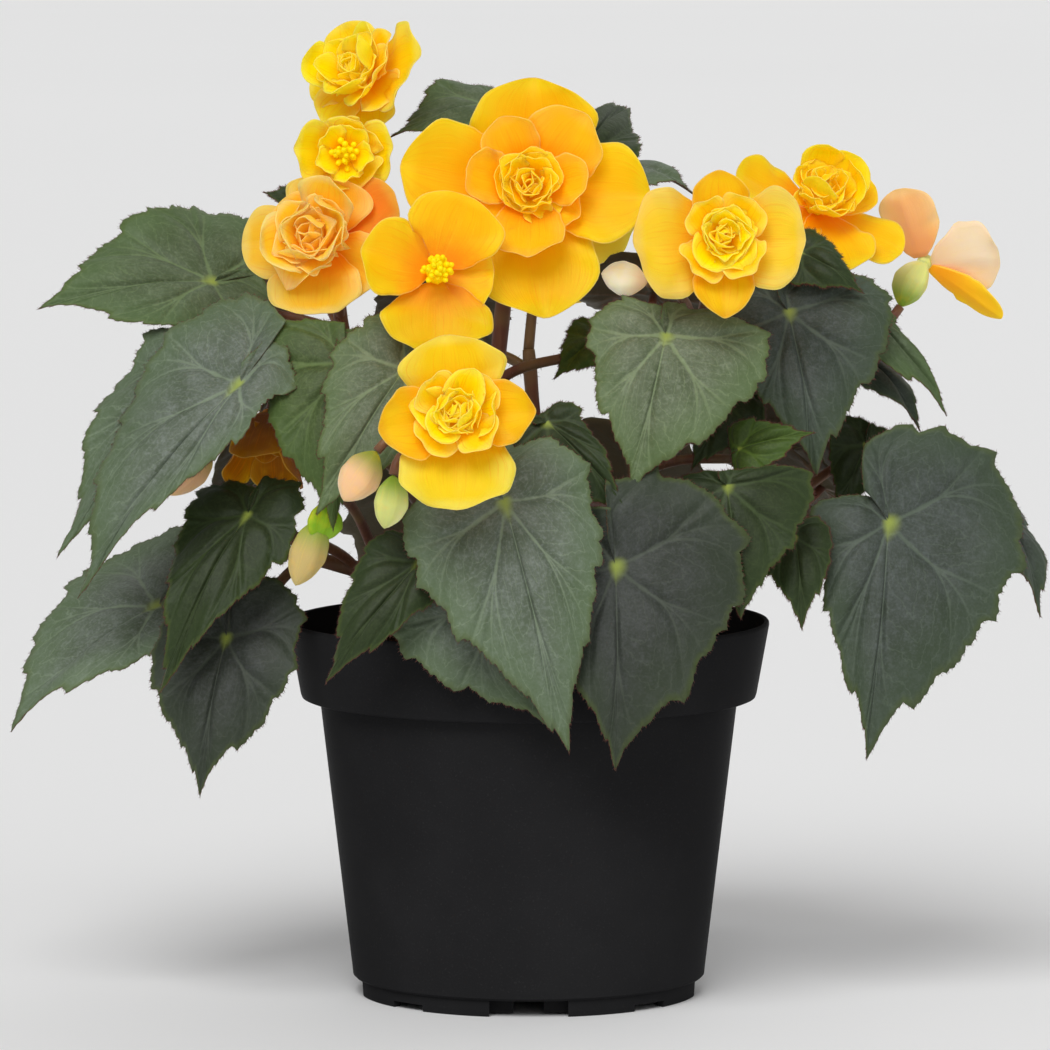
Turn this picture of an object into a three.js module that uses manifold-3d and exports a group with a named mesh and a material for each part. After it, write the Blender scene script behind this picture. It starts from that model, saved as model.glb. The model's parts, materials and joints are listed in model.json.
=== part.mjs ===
import * as THREE from 'three';
import { mergeVertices } from 'three/addons/utils/BufferGeometryUtils.js';
import Module from 'manifold-3d';

// A begonia with double orange-yellow blooms in a round 13 cm nursery pot.
// Millimetres, +Z up. The origin is on the surface that the pot stands on, under the pot's axis.

const wasm = await Module();
wasm.setup();

// Driving dimensions of the pot
const RIM_RADIUS = 65;
const POT_HEIGHT = 101.5;
const LIP_HEIGHT = 21;
const LIP_FOOT_RADIUS = 61.7;
const BODY_TOP_RADIUS = 56.5;
const BODY_FOOT_RADIUS = 47.9;
const FOOT_RADIUS = 45.9;
const FOOT_HEIGHT = 4.6;
const FOOT_WIDTH = 2.6;
const POT_WALL = 1.4;
const POT_SIDES = 32;
const NOTCH_WIDTH = 21;
const NOTCH_HEIGHT = 4.4;
const NOTCH_GAP = 8;
const RELIEF_WIDTH = 11;
const FOOT_RELIEF = 1.8;
const LUG_RADIUS = 40;
const LUG_DEPTH = 2;
const LUG_LIFT = 0.6;
const DRAIN_RADIUS = 3;
const DRAIN_RING = 28;

// Driving dimensions of the plant
const SOIL_LEVEL = POT_HEIGHT - 10;
const CROWN_RADIUS = 9;
const CROWN_DEPTH = 17;
const BLADE = 0.8;
const PETAL = 0.7;
const GAP = 0.3;
const STALK_RADIUS = 1.15;
const STEM_RADIUS = 3.2;

// Places in the tables are [x, z, depth]: x and z as they line up with the pot's middle plane when
// seen from VIEWPOINT, and depth along +Y, so a place further forward has a negative depth.
const VIEWPOINT = new THREE.Vector3(-1, -1990.8, 318.7);

function seen([x, z, depth]) {
  const share = (depth - VIEWPOINT.y) / (0 - VIEWPOINT.y);
  return VIEWPOINT.clone().lerp(new THREE.Vector3(x, 0, z), share);
}

const vector = (list) => new THREE.Vector3(...list);
const radians = THREE.MathUtils.degToRad;

// A point at share s along the smooth line through a list of points
function through(points, s) {
  const last = points.length - 1;
  const place = s * last;
  const i = Math.min(Math.floor(place), last - 1);
  const t = place - i;
  const [p0, p1, p2, p3] = [Math.max(i - 1, 0), i, i + 1, Math.min(i + 2, last)].map((k) => points[k]);
  return p1.map((_, k) => 0.5 * (2 * p1[k] + (p2[k] - p0[k]) * t
    + (2 * p0[k] - 5 * p1[k] + 4 * p2[k] - p3[k]) * t * t
    + (3 * p1[k] - p0[k] - 3 * p2[k] + p3[k]) * t * t * t));
}

// Closed meshes

function meshOf(points, triangles) {
  const geometry = new THREE.BufferGeometry();
  const flat = points.flatMap((point) => [point.x, point.y, point.z]);
  geometry.setAttribute('position', new THREE.Float32BufferAttribute(flat, 3));
  geometry.setIndex(triangles.flat());
  return geometry;
}

// Merges shared vertices, drops triangles that closed up and turns the faces outwards
function weld(source) {
  source.deleteAttribute('normal');
  source.deleteAttribute('uv');
  const geometry = mergeVertices(source, 1e-4);
  const index = Array.from(geometry.index.array);
  const spot = geometry.getAttribute('position');
  const corner = (i) => new THREE.Vector3().fromBufferAttribute(spot, i);
  const kept = [];
  let volume = 0;
  for (let i = 0; i < index.length; i += 3) {
    const [a, b, c] = index.slice(i, i + 3);
    if (a === b || b === c || c === a) continue;
    kept.push([a, b, c]);
    volume += corner(a).dot(corner(b).cross(corner(c)));
  }
  geometry.setIndex(volume < 0 ? kept.flatMap(([a, b, c]) => [a, c, b]) : kept.flat());
  return geometry;
}

function solid(geometry) {
  const welded = weld(geometry);
  const vertProperties = new Float32Array(welded.getAttribute('position').array);
  const triVerts = new Uint32Array(welded.index.array);
  return new wasm.Manifold(new wasm.Mesh({ numProp: 3, vertProperties, triVerts }));
}

function geometryOf(body) {
  const { vertProperties, triVerts } = body.getMesh();
  const geometry = new THREE.BufferGeometry();
  geometry.setAttribute('position', new THREE.Float32BufferAttribute(Array.from(vertProperties), 3));
  geometry.setIndex(Array.from(triVerts));
  return geometry;
}

const joined = (geometries) => geometryOf(geometries.map(solid).reduce((all, one) => all.add(one)));

// A sheet made thick: its front as given, its back moved by `backs`, a wall along its `edge`
function thicken(front, backs, triangles, edge) {
  const count = front.length;
  const points = [...front, ...front.map((point, i) => point.clone().add(backs[i]))];
  const faces = [...triangles, ...triangles.map(([a, b, c]) => [a + count, c + count, b + count])];
  edge.forEach((p, i) => {
    const q = edge[(i + 1) % edge.length];
    faces.push([p, p + count, q + count], [p, q + count, q]);
  });
  return meshOf(points, faces);
}

// A closed tube along a curve
function tube(curve, steps, sides, radiusAt) {
  const { normals, binormals } = curve.computeFrenetFrames(steps, false);
  const points = [];
  const faces = [];
  for (let i = 0; i <= steps; i += 1) {
    const middle = curve.getPoint(i / steps);
    for (let j = 0; j < sides; j += 1) {
      const angle = (j / sides) * 2 * Math.PI;
      points.push(middle.clone()
        .addScaledVector(normals[i], radiusAt(i / steps) * Math.cos(angle))
        .addScaledVector(binormals[i], radiusAt(i / steps) * Math.sin(angle)));
    }
  }
  for (let i = 0; i < steps; i += 1) {
    for (let j = 0; j < sides; j += 1) {
      const [a, b] = [i * sides + j, i * sides + ((j + 1) % sides)];
      faces.push([a, b, a + sides], [b, b + sides, a + sides]);
    }
  }
  const end = steps * sides;
  for (let j = 1; j < sides - 1; j += 1) {
    faces.push([0, j + 1, j], [end, end + j, end + j + 1]);
  }
  return meshOf(points, faces);
}

// Revolves a profile of [radius, height] about the vertical axis
function revolved(profile, sides) {
  const outline = profile.map(([radius, height]) => new THREE.Vector2(radius, height));
  return new THREE.LatheGeometry(outline, sides).rotateX(Math.PI / 2);
}

const finish = (color, roughness) => new THREE.MeshStandardMaterial({ color, roughness, metalness: 0 });
const FINISH = {
  pot: finish(0x1b1b1c, 0.45),
  soil: finish(0x2e1f17, 0.95),
  stem: finish(0x5a3626, 0.6),
  leaf: finish(0x4e5c4a, 0.6),
  young: finish(0x5f7f35, 0.55),
  petal: finish(0xf4b01c, 0.55),
  salmon: finish(0xf0b089, 0.55),
  bud: finish(0xe9d9b4, 0.55),
};

const plant = new THREE.Group();

function place(name, geometry, material) {
  const mesh = new THREE.Mesh(geometry, material);
  mesh.name = name;
  plant.add(mesh);
}

// Pot

function potGeometry() {
  const lipBase = POT_HEIGHT - LIP_HEIGHT;
  let pot = solid(revolved([
    [0, FOOT_HEIGHT],
    [FOOT_RADIUS - FOOT_WIDTH, FOOT_HEIGHT],
    [FOOT_RADIUS - FOOT_WIDTH, 0],
    [FOOT_RADIUS, 0],
    [FOOT_RADIUS + 0.3, FOOT_HEIGHT],
    [BODY_FOOT_RADIUS - 0.7, FOOT_HEIGHT + 0.3],
    [BODY_FOOT_RADIUS, FOOT_HEIGHT + 3],
    [BODY_TOP_RADIUS, lipBase],
    [LIP_FOOT_RADIUS - 0.9, lipBase + 0.2],
    [LIP_FOOT_RADIUS, lipBase + 1.6],
    [RIM_RADIUS, POT_HEIGHT - 1.2],
    [RIM_RADIUS - 0.5, POT_HEIGHT],
    [RIM_RADIUS - POT_WALL, POT_HEIGHT],
    [LIP_FOOT_RADIUS - POT_WALL - 0.3, lipBase + POT_WALL + 0.6],
    [BODY_TOP_RADIUS - POT_WALL + 0.2, lipBase + POT_WALL],
    [BODY_FOOT_RADIUS - POT_WALL, FOOT_HEIGHT + POT_WALL + 1],
    [0, FOOT_HEIGHT + POT_WALL],
  ], POT_SIDES));
  const footMiddle = FOOT_RADIUS - FOOT_WIDTH / 2;
  const cutter = (width, height, turn) => solid(
    new THREE.BoxGeometry(width, 2 * FOOT_WIDTH, 2 * height).translate(0, -footMiddle, 0)
      .rotateZ(radians(turn)));
  const drain = (turn) => solid(
    new THREE.CylinderGeometry(DRAIN_RADIUS, DRAIN_RADIUS, 10, 8).rotateX(Math.PI / 2)
      .translate(0, DRAIN_RING, FOOT_HEIGHT).rotateZ(radians(turn)));
  const lugWidth = (NOTCH_WIDTH - NOTCH_GAP) / 2;
  const lug = (side, turn) => solid(
    new THREE.BoxGeometry(lugWidth, LUG_DEPTH, FOOT_HEIGHT)
      .translate((side * (NOTCH_GAP + lugWidth)) / 2, -LUG_RADIUS, FOOT_HEIGHT / 2 + LUG_LIFT)
      .rotateZ(radians(turn)));
  for (const turn of [0, 90, 180, 270]) {
    pot = pot.subtract(cutter(NOTCH_WIDTH, NOTCH_HEIGHT, turn));
    pot = pot.subtract(cutter(RELIEF_WIDTH, FOOT_RELIEF, turn + 45));
    pot = pot.subtract(drain(turn + 45));
    pot = pot.add(lug(-1, turn)).add(lug(1, turn));
  }
  return geometryOf(pot);
}
place('pot', potGeometry(), FINISH.pot);

// Soil, with a plain hole that the crown stands in. Each ring of its top is [radius, rise].

const SOIL_RINGS = [[54, 0.3], [44, 0.7], [33, 1], [22, 0.6], [11, -0.2]];
const SOIL_SIDES = 24;

function soilGeometry() {
  const lipBase = POT_HEIGHT - LIP_HEIGHT;
  const clear = POT_WALL + 0.45;
  const edge = LIP_FOOT_RADIUS - clear + 1;
  const geometry = revolved([
    [0, FOOT_HEIGHT + clear],
    [BODY_FOOT_RADIUS - clear - 0.2, FOOT_HEIGHT + clear + 0.9],
    [BODY_TOP_RADIUS - clear, lipBase + clear + 0.2],
    [LIP_FOOT_RADIUS - clear - 0.6, lipBase + clear + 0.6],
    [edge, SOIL_LEVEL - 0.3],
    ...SOIL_RINGS.map(([radius, rise]) => [radius, SOIL_LEVEL + rise]),
    [0, SOIL_LEVEL],
  ], SOIL_SIDES);
  const spot = geometry.getAttribute('position');
  for (let i = 0; i < spot.count; i += 1) {
    const [x, y, z] = [spot.getX(i), spot.getY(i), spot.getZ(i)];
    const radius = Math.hypot(x, y);
    if (z > SOIL_LEVEL - 3 && radius > 1 && radius < edge - 1) {
      const swell = 0.7 * Math.sin(x * 0.31 + 1.7) * Math.cos(y * 0.27);
      spot.setZ(i, z + swell + 0.4 * Math.sin(x * 0.9 + y * 0.7));
    }
  }
  const hole = new THREE.CylinderGeometry(CROWN_RADIUS + GAP, CROWN_RADIUS + GAP, 60, 18)
    .rotateX(Math.PI / 2).translate(0, 0, SOIL_LEVEL - CROWN_DEPTH - GAP + 30);
  return geometryOf(solid(geometry).subtract(solid(hole)));
}
place('soil', soilGeometry(), FINISH.soil);

// Leaf blades. A blade lies along the line from its base, where the stalk meets it, to its tip, and
// faces `face`. `half` is its half width left and right of that line as seen on its face with the tip
// down, and `lobe` how far each side reaches back past the base, as a share of the length. `arch`
// lifts the middle of the midrib, `cup` lets the edges droop, `wave` ripples them, and `fold` raises
// both sides from the midrib. `from` is the place on a stem that the stalk leaves.

const HALF_OUTLINE = [
  [1, 0], [0.87, 0.12], [0.73, 0.31], [0.56, 0.55], [0.38, 0.78], [0.18, 0.95],
  [-0.02, 1], [-0.55, 0.92], [-0.88, 0.7], [-1, 0.43], [-0.84, 0.17],
];
const TOOTH = 0.035;
const INNER_RING = 0.56;

function frameOf(leaf) {
  const base = seen(leaf.base);
  const along = seen(leaf.tip).sub(base);
  const length = along.length();
  along.normalize();
  const face = vector(leaf.face);
  face.addScaledVector(along, -face.dot(along)).normalize();
  return { base, along, face, side: face.clone().cross(along), length };
}

// The edge of one side of a blade at share s from the tip to the notch: [along, across] as shares
function bladeEdge(leaf, side, s) {
  const [a, w] = through(HALF_OUTLINE, s);
  return [a < 0 ? a * leaf.lobe[side] : a, side === 0 ? -w : w];
}

function bladePoint(leaf, frame, a, w) {
  const { arch = 0.06, cup = 0.12, wave = 0.04, fold = 0 } = leaf;
  const half = leaf.half[w < 0 ? 0 : 1];
  const rise = 4 * arch * frame.length * (a < 0 ? a / (1 - 3 * a) : a * (1 - a));
  const reach = Math.min(a * a + w * w, 1);
  const ripple = wave * half * reach * Math.sin(5 * Math.atan2(w, a) + leaf.base[0]);
  const lift = rise - cup * half * w * w + fold * half * Math.abs(w) + ripple;
  return frame.base.clone().addScaledVector(frame.along, a * frame.length)
    .addScaledVector(frame.side, w * half).addScaledVector(frame.face, lift);
}

function bladeGeometry(leaf) {
  const frame = frameOf(leaf);
  const count = leaf.points ?? 21;
  const middle = (count - 1) / 2;
  const spots = [[0, 0]];
  const edge = [];
  for (let i = 0; i < count; i += 1) {
    const side = i < middle ? 0 : 1;
    const [a, w] = bladeEdge(leaf, side, Math.abs(i - middle) / middle);
    const tooth = i === middle ? 0 : TOOTH * (i % 2 === 0 ? 1 : -0.7);
    edge.push([a * (1 + tooth), w * (1 + tooth)]);
  }
  const inner = edge.filter((_, i) => i % 2 === 0).map(([a, w]) => [a * INNER_RING, w * INNER_RING]);
  spots.push(...inner, ...edge);
  const outerStart = 1 + inner.length;
  const triangles = [];
  for (let j = 1; j < inner.length; j += 1) {
    const outer = outerStart + 2 * (j - 1);
    triangles.push([0, j, j + 1], [j, outer, outer + 1]);
    triangles.push([j, outer + 1, j + 1], [j + 1, outer + 1, outer + 2]);
  }
  const rim = [0, 1, ...edge.map((_, i) => outerStart + i), inner.length];
  const front = spots.map(([a, w]) => bladePoint(leaf, frame, a, w));
  const backs = spots.map(() => frame.face.clone().multiplyScalar(-BLADE));
  return thicken(front, backs, triangles, rim);
}

const LEAVES = [
  { name: 'leaf_upper_left', from: ['left', 0.8], base: [-84.8, 193, -8], tip: [-132, 185.4, -22],
    half: [28, 17], lobe: [0.42, 0.3], face: [-0.2, -0.8, 0.6], arch: 0.08, cup: 0.1, points: 25 },
  { name: 'leaf_left_front', from: ['left', 0.6], base: [-77.8, 165.6, -48], tip: [-122.3, 107.9, -58],
    half: [28, 11], lobe: [0.31, 0.2], face: [-0.4, -0.8, 0.4], arch: 0.07, cup: 0.12, points: 25 },
  { name: 'leaf_left_back', from: ['left', 0.68], base: [-88, 169, -34], tip: [-127, 118, -44],
    half: [22, 12], lobe: [0.1, 0.2], face: [-0.4, -0.8, 0.4], arch: 0.06, cup: 0.1, points: 21 },
  { name: 'leaf_lower_left', from: ['far_left', 1], base: [-100.4, 105.4, -14], tip: [-140.7, 71.5, -24],
    half: [33, 16], lobe: [0.5, 0.5], face: [-0.5, -0.6, 0.6], arch: 0.08, cup: 0.1, points: 25 },
  { name: 'leaf_hanging_left', from: ['far_left', 0.85], base: [-81.8, 96.5, -38], tip: [-89.1, 53, -44],
    half: [20, 20], lobe: [0.34, 0.4], face: [-0.2, -0.95, 0.1], arch: 0.1, cup: 0.1, wave: 0.1, points: 25 },
  { name: 'leaf_mid_left', from: ['far_left', 0.7], base: [-75.9, 130.1, -40], tip: [-99.9, 81.6, -54],
    half: [16, 14], lobe: [0.15, 0.25], face: [-0.3, -0.9, 0.3], arch: 0.08, cup: 0.14, points: 21 },
  { name: 'leaf_inner_left', from: ['left', 0.5], base: [-49.1, 171.3, -48], tip: [-52.7, 125.5, -58],
    half: [24, 12], lobe: [0.25, 0.2], face: [-0.1, -0.95, 0.3], arch: 0.06, cup: 0.12, points: 21 },
  { name: 'leaf_centre_left', from: ['front', 0.9], base: [-33.5, 169.4, -58], tip: [-57.5, 130.1, -68],
    half: [18, 19], lobe: [0.3, 0.4], face: [-0.1, -0.95, 0.3], arch: 0.06, cup: 0.1, points: 21 },
  { name: 'leaf_rim_left', from: ['front', 0.5], base: [-29.7, 117.1, -70], tip: [-54.8, 84, -74],
    half: [14, 10], lobe: [0.1, 0.25], face: [-0.3, -0.9, 0.2], arch: 0.07, cup: 0.1, points: 21 },
  { name: 'leaf_front_long', from: ['front', 0.8], base: [-6.5, 133.6, -76], tip: [11, 65, -83],
    half: [28, 23], lobe: [0.12, 0.2], face: [0, -0.97, 0.25], arch: 0.05, cup: 0.1, points: 25 },
  { name: 'leaf_front_upper', from: ['front', 0.95], base: [5, 155, -58], tip: [27, 131, -66],
    half: [24, 8], lobe: [0.25, 0.1], face: [0.1, -0.95, 0.3], arch: 0.08, cup: 0.12, points: 21 },
  { name: 'leaf_front_right', from: ['far_right', 0.4], base: [23.5, 116, -69], tip: [23.8, 60.2, -76],
    half: [20, 34], lobe: [0.3, 0.44], face: [0.1, -0.97, 0.2], arch: 0.05, cup: 0.08, points: 25 },
  { name: 'leaf_front_low', from: ['front', 0.4], base: [-9.2, 109.2, -67.5], tip: [11, 70, -70],
    half: [28, 9], lobe: [0.3, 0.2], face: [-0.05, -0.97, 0.2], arch: 0.04, cup: 0.08, points: 21 },
  { name: 'leaf_centre_right', from: ['right', 0.55], base: [37, 178.6, -52], tip: [27.8, 135.8, -64],
    half: [20, 28], lobe: [0.18, 0.22], face: [0.05, -0.93, 0.35], arch: 0.07, cup: 0.12, points: 25 },
  { name: 'leaf_right_dark', from: ['right', 0.75], base: [70, 185, -28], tip: [77.8, 140.5, -39],
    half: [18, 27], lobe: [0.2, 0.22], face: [0.1, -0.93, 0.3], arch: 0.08, cup: 0.1, wave: 0.1, points: 21 },
  { name: 'leaf_right_arch', from: ['right', 0.9], base: [82, 190, -10], tip: [113, 157, -18],
    half: [15, 7], lobe: [0.2, 0.2], face: [0.35, -0.7, 0.65], arch: 0.12, cup: 0.1, points: 21 },
  { name: 'leaf_right_arch_low', from: ['right', 0.7], base: [88, 174, -4], tip: [106, 153, -10],
    half: [9, 9], lobe: [0.3, 0.3], face: [0.5, -0.6, 0.6], arch: 0.1, cup: 0.1, points: 17 },
  { name: 'leaf_right_top', from: ['right', 1], base: [73, 201, -24], tip: [90, 190, -28],
    half: [9, 7], lobe: [0.3, 0.3], face: [0.1, -0.9, 0.4], arch: 0.12, cup: 0.1, points: 17 },
  { name: 'leaf_right_mid', from: ['far_right', 0.8], base: [91, 149, -8], tip: [83, 131, -14],
    half: [10, 10], lobe: [0.3, 0.3], face: [0.2, -0.9, 0.3], arch: 0.08, cup: 0.1, points: 17 },
  { name: 'leaf_right_big', from: ['far_right', 0.9], base: [97.2, 127.9, -30], tip: [91.3, 63.1, -44],
    half: [19, 37], lobe: [0.1, 0.4], face: [0.15, -0.95, 0.2], arch: 0.05, cup: 0.1, points: 25 },
  { name: 'leaf_far_right', from: ['far_right', 1], base: [124, 134, -8], tip: [139.55, 102.7, -12],
    half: [15, 13], lobe: [0.3, 0.3], face: [0.75, -0.5, 0.3], arch: 0.1, cup: 0.1, points: 17 },
  { name: 'leaf_rim_right', from: ['far_right', 0.55], base: [53.5, 137.7, -55], tip: [57.5, 101.6, -60],
    half: [15, 23], lobe: [0.12, 0.12], face: [0.1, -0.95, 0.25], arch: 0.07, cup: 0.12, points: 21 },
  { name: 'leaf_inner_right', from: ['right', 0.4], base: [53.7, 160.4, -30], tip: [44, 142, -36],
    half: [10, 10], lobe: [0.3, 0.3], face: [0.1, -0.9, 0.4], arch: 0.1, cup: 0.12, points: 17 },
  { name: 'leaf_young_right', from: ['right', 0.45], base: [56.4, 147.7, -43], tip: [77, 152, -46],
    half: [9, 7], lobe: [0.1, 0.1], face: [0.1, -0.9, 0.5], arch: 0.08, fold: 0.2, points: 17 },
  { name: 'leaf_low_right', from: ['far_right', 0.65], base: [72, 124, -40], tip: [74, 98.9, -48],
    half: [10, 10], lobe: [0.2, 0.2], face: [0.1, -0.95, 0.2], arch: 0.08, cup: 0.1, points: 17 },
  { name: 'leaf_top_left', from: ['centre', 0.95], base: [-12, 241, -4], tip: [-37, 230.6, -12],
    half: [14, 12], lobe: [0.2, 0.2], face: [-0.2, -0.6, 0.78], arch: 0.08, cup: 0.05, wave: 0.15,
    points: 21 },
  { name: 'leaf_top_back', from: ['centre', 1], base: [14, 226, 10], tip: [26, 240, 46],
    half: [15, 13], lobe: [0.3, 0.3], face: [0.1, -0.5, 0.85], arch: 0.08, cup: 0.1, points: 17 },
  { name: 'leaf_top_right', from: ['right', 0.95], base: [22, 224, -2], tip: [45, 216.8, -8],
    half: [13, 12], lobe: [0.2, 0.2], face: [0.2, -0.3, 0.93], arch: 0.1, cup: 0.1, points: 17 },
  { name: 'leaf_top_far_left', from: ['left', 0.95], base: [-58, 213, 6], tip: [-71, 217, 4],
    half: [6, 6], lobe: [0.2, 0.2], face: [-0.3, -0.7, 0.6], arch: 0.1, cup: 0.1, points: 17 },
  { name: 'leaf_heart', from: ['centre', 0.6], base: [18, 178, -22], tip: [7, 167, -28],
    half: [7, 8], lobe: [0.2, 0.2], face: [0, -0.9, 0.4], arch: 0.1, cup: 0.12, points: 17 },
  { name: 'leaf_back_1', from: ['back', 0.6], base: [-58, 160, 38], tip: [-88, 114, 62],
    half: [24, 22], lobe: [0.35, 0.3], face: [-0.6, 0.65, 0.4], arch: 0.08, cup: 0.12, points: 17 },
  { name: 'leaf_back_2', from: ['back', 0.4], base: [-24, 136, 68], tip: [-32, 84, 98.3],
    half: [22, 26], lobe: [0.35, 0.3], face: [-0.2, 0.92, 0.35], arch: 0.07, cup: 0.12, points: 17 },
  { name: 'leaf_back_3', from: ['back', 0.5], base: [28, 138, 68], tip: [40, 88, 97.5],
    half: [26, 21], lobe: [0.3, 0.38], face: [0.25, 0.92, 0.35], arch: 0.07, cup: 0.12, points: 17 },
  { name: 'leaf_back_4', from: ['right', 0.5], base: [62, 156, 40], tip: [84, 112, 62],
    half: [24, 22], lobe: [0.35, 0.3], face: [0.6, 0.65, 0.4], arch: 0.08, cup: 0.12, points: 17 },
  { name: 'leaf_back_5', from: ['back', 0.9], base: [-22, 184, 52], tip: [-30, 142, 92],
    half: [17, 22], lobe: [0.3, 0.35], face: [-0.1, 0.8, 0.6], arch: 0.08, cup: 0.12, points: 17 },
  { name: 'leaf_back_6', from: ['right', 0.7], base: [34, 190, 44], tip: [50, 150, 80],
    half: [22, 19], lobe: [0.3, 0.3], face: [0.3, 0.8, 0.6], arch: 0.08, cup: 0.12, points: 17 },
  { name: 'leaf_back_7', from: ['left', 0.7], base: [-58, 198, 26], tip: [-88, 168, 46],
    half: [18, 17], lobe: [0.3, 0.3], face: [-0.4, 0.7, 0.6], arch: 0.08, cup: 0.12, points: 17 },
  { name: 'leaf_back_8', from: ['far_left', 0.8], base: [-80, 132, 26], tip: [-106, 94, 48],
    half: [19, 18], lobe: [0.3, 0.3], face: [-0.8, 0.45, 0.4], arch: 0.08, cup: 0.12, points: 17 },
  { name: 'leaf_side_right', from: ['far_right', 0.85], base: [80, 138, 20], tip: [104, 98, 36],
    half: [18, 19], lobe: [0.3, 0.3], face: [0.8, 0.45, 0.4], arch: 0.08, cup: 0.12, points: 17 },
  { name: 'leaf_back_low', from: ['back', 0.25], base: [2, 118, 72], tip: [0, 68, 84],
    half: [21, 21], lobe: [0.3, 0.3], face: [0, 0.98, 0.2], arch: 0.05, cup: 0.08, points: 17 },
  { name: 'leaf_top_inner', from: ['centre', 0.9], base: [-8, 218, 24], tip: [-22, 200, 62],
    half: [20, 22], lobe: [0.3, 0.3], face: [-0.1, 0.5, 0.85], arch: 0.08, cup: 0.12, points: 17 },
];
const YOUNG_LEAVES = ['leaf_young_right', 'leaf_heart'];

for (const leaf of LEAVES) {
  place(leaf.name, bladeGeometry(leaf), YOUNG_LEAVES.includes(leaf.name) ? FINISH.young : FINISH.leaf);
}

// Petals. A petal leaves the bloom's axis at the angle `open` (90 lies flat) and turns by `curl` on
// its way to the tip. `cup` raises its edges, and `point` narrows its end.

const FULL_PETAL = { rows: [[0, 0.3, 0.3], [0.38, 0.84, 0.88], [0.7, 1, 0.84], [0.92, 0.62, 0.32]],
  columns: [-1, 0, 1] };
const PLAIN_PETAL = { rows: [[0, 0.3, 0.3], [0.5, 0.95, 0.9], [0.86, 0.76, 0.45]], columns: [-1, 0, 1] };
const SMALL_PETAL = { rows: [[0, 0.4, 0.4], [0.62, 1, 0.9]], columns: [-1, 1] };
const FULL_LENGTH = 24;
const ROOT_OFFSET = 2;
const ROOT_HALF = 2;

function petalGeometry(origin, axis, outward, petal, { rows, columns } = FULL_PETAL) {
  const { length, width, open, curl = -12, cup = 0.16, point = 0 } = petal;
  const side = axis.clone().cross(outward);
  const [start, turn] = [radians(open), radians(curl)];
  const stretch = (length - ROOT_OFFSET) / turn;
  const spine = (s) => origin.clone().addScaledVector(outward, ROOT_OFFSET)
    .addScaledVector(outward, stretch * (Math.cos(start) - Math.cos(start + turn * s)))
    .addScaledVector(axis, stretch * (Math.sin(start + turn * s) - Math.sin(start)));
  const facing = (s) => outward.clone().multiplyScalar(-Math.cos(start + turn * s))
    .addScaledVector(axis, Math.sin(start + turn * s));
  const front = [];
  const backs = [];
  rows.forEach(([s, round, pointed], row) => {
    const share = (width / 2) * THREE.MathUtils.lerp(round, pointed, point);
    const half = row === 0 ? Math.min(share, ROOT_HALF) : share;
    for (const v of columns) {
      front.push(spine(s).addScaledVector(side, v * half).addScaledVector(facing(s), cup * half * v * v));
      backs.push(facing(s).multiplyScalar(-PETAL));
    }
  });
  front.push(spine(1));
  backs.push(facing(1).multiplyScalar(-PETAL));
  const tip = front.length - 1;
  const across = columns.length;
  const triangles = [];
  for (let column = 0; column < across - 1; column += 1) {
    for (let row = 0; row < rows.length - 1; row += 1) {
      const a = row * across + column;
      triangles.push([a, a + across, a + across + 1], [a, a + across + 1, a + 1]);
    }
    triangles.push([tip, tip - across + column + 1, tip - across + column]);
  }
  const right = rows.map((_, row) => row * across);
  const left = right.map((first) => first + across - 1).reverse();
  const root = columns.map((_, column) => column).slice(1, -1).reverse();
  return thicken(front, backs, triangles, [...right, tip, ...left, ...root]);
}

// Blooms. Each outer petal is [clock, length, width, open, point, curl]: `clock` turns clockwise from
// the top as seen from the front. Inner petals stand in whorls of [count, length, width, open, clock].

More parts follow.
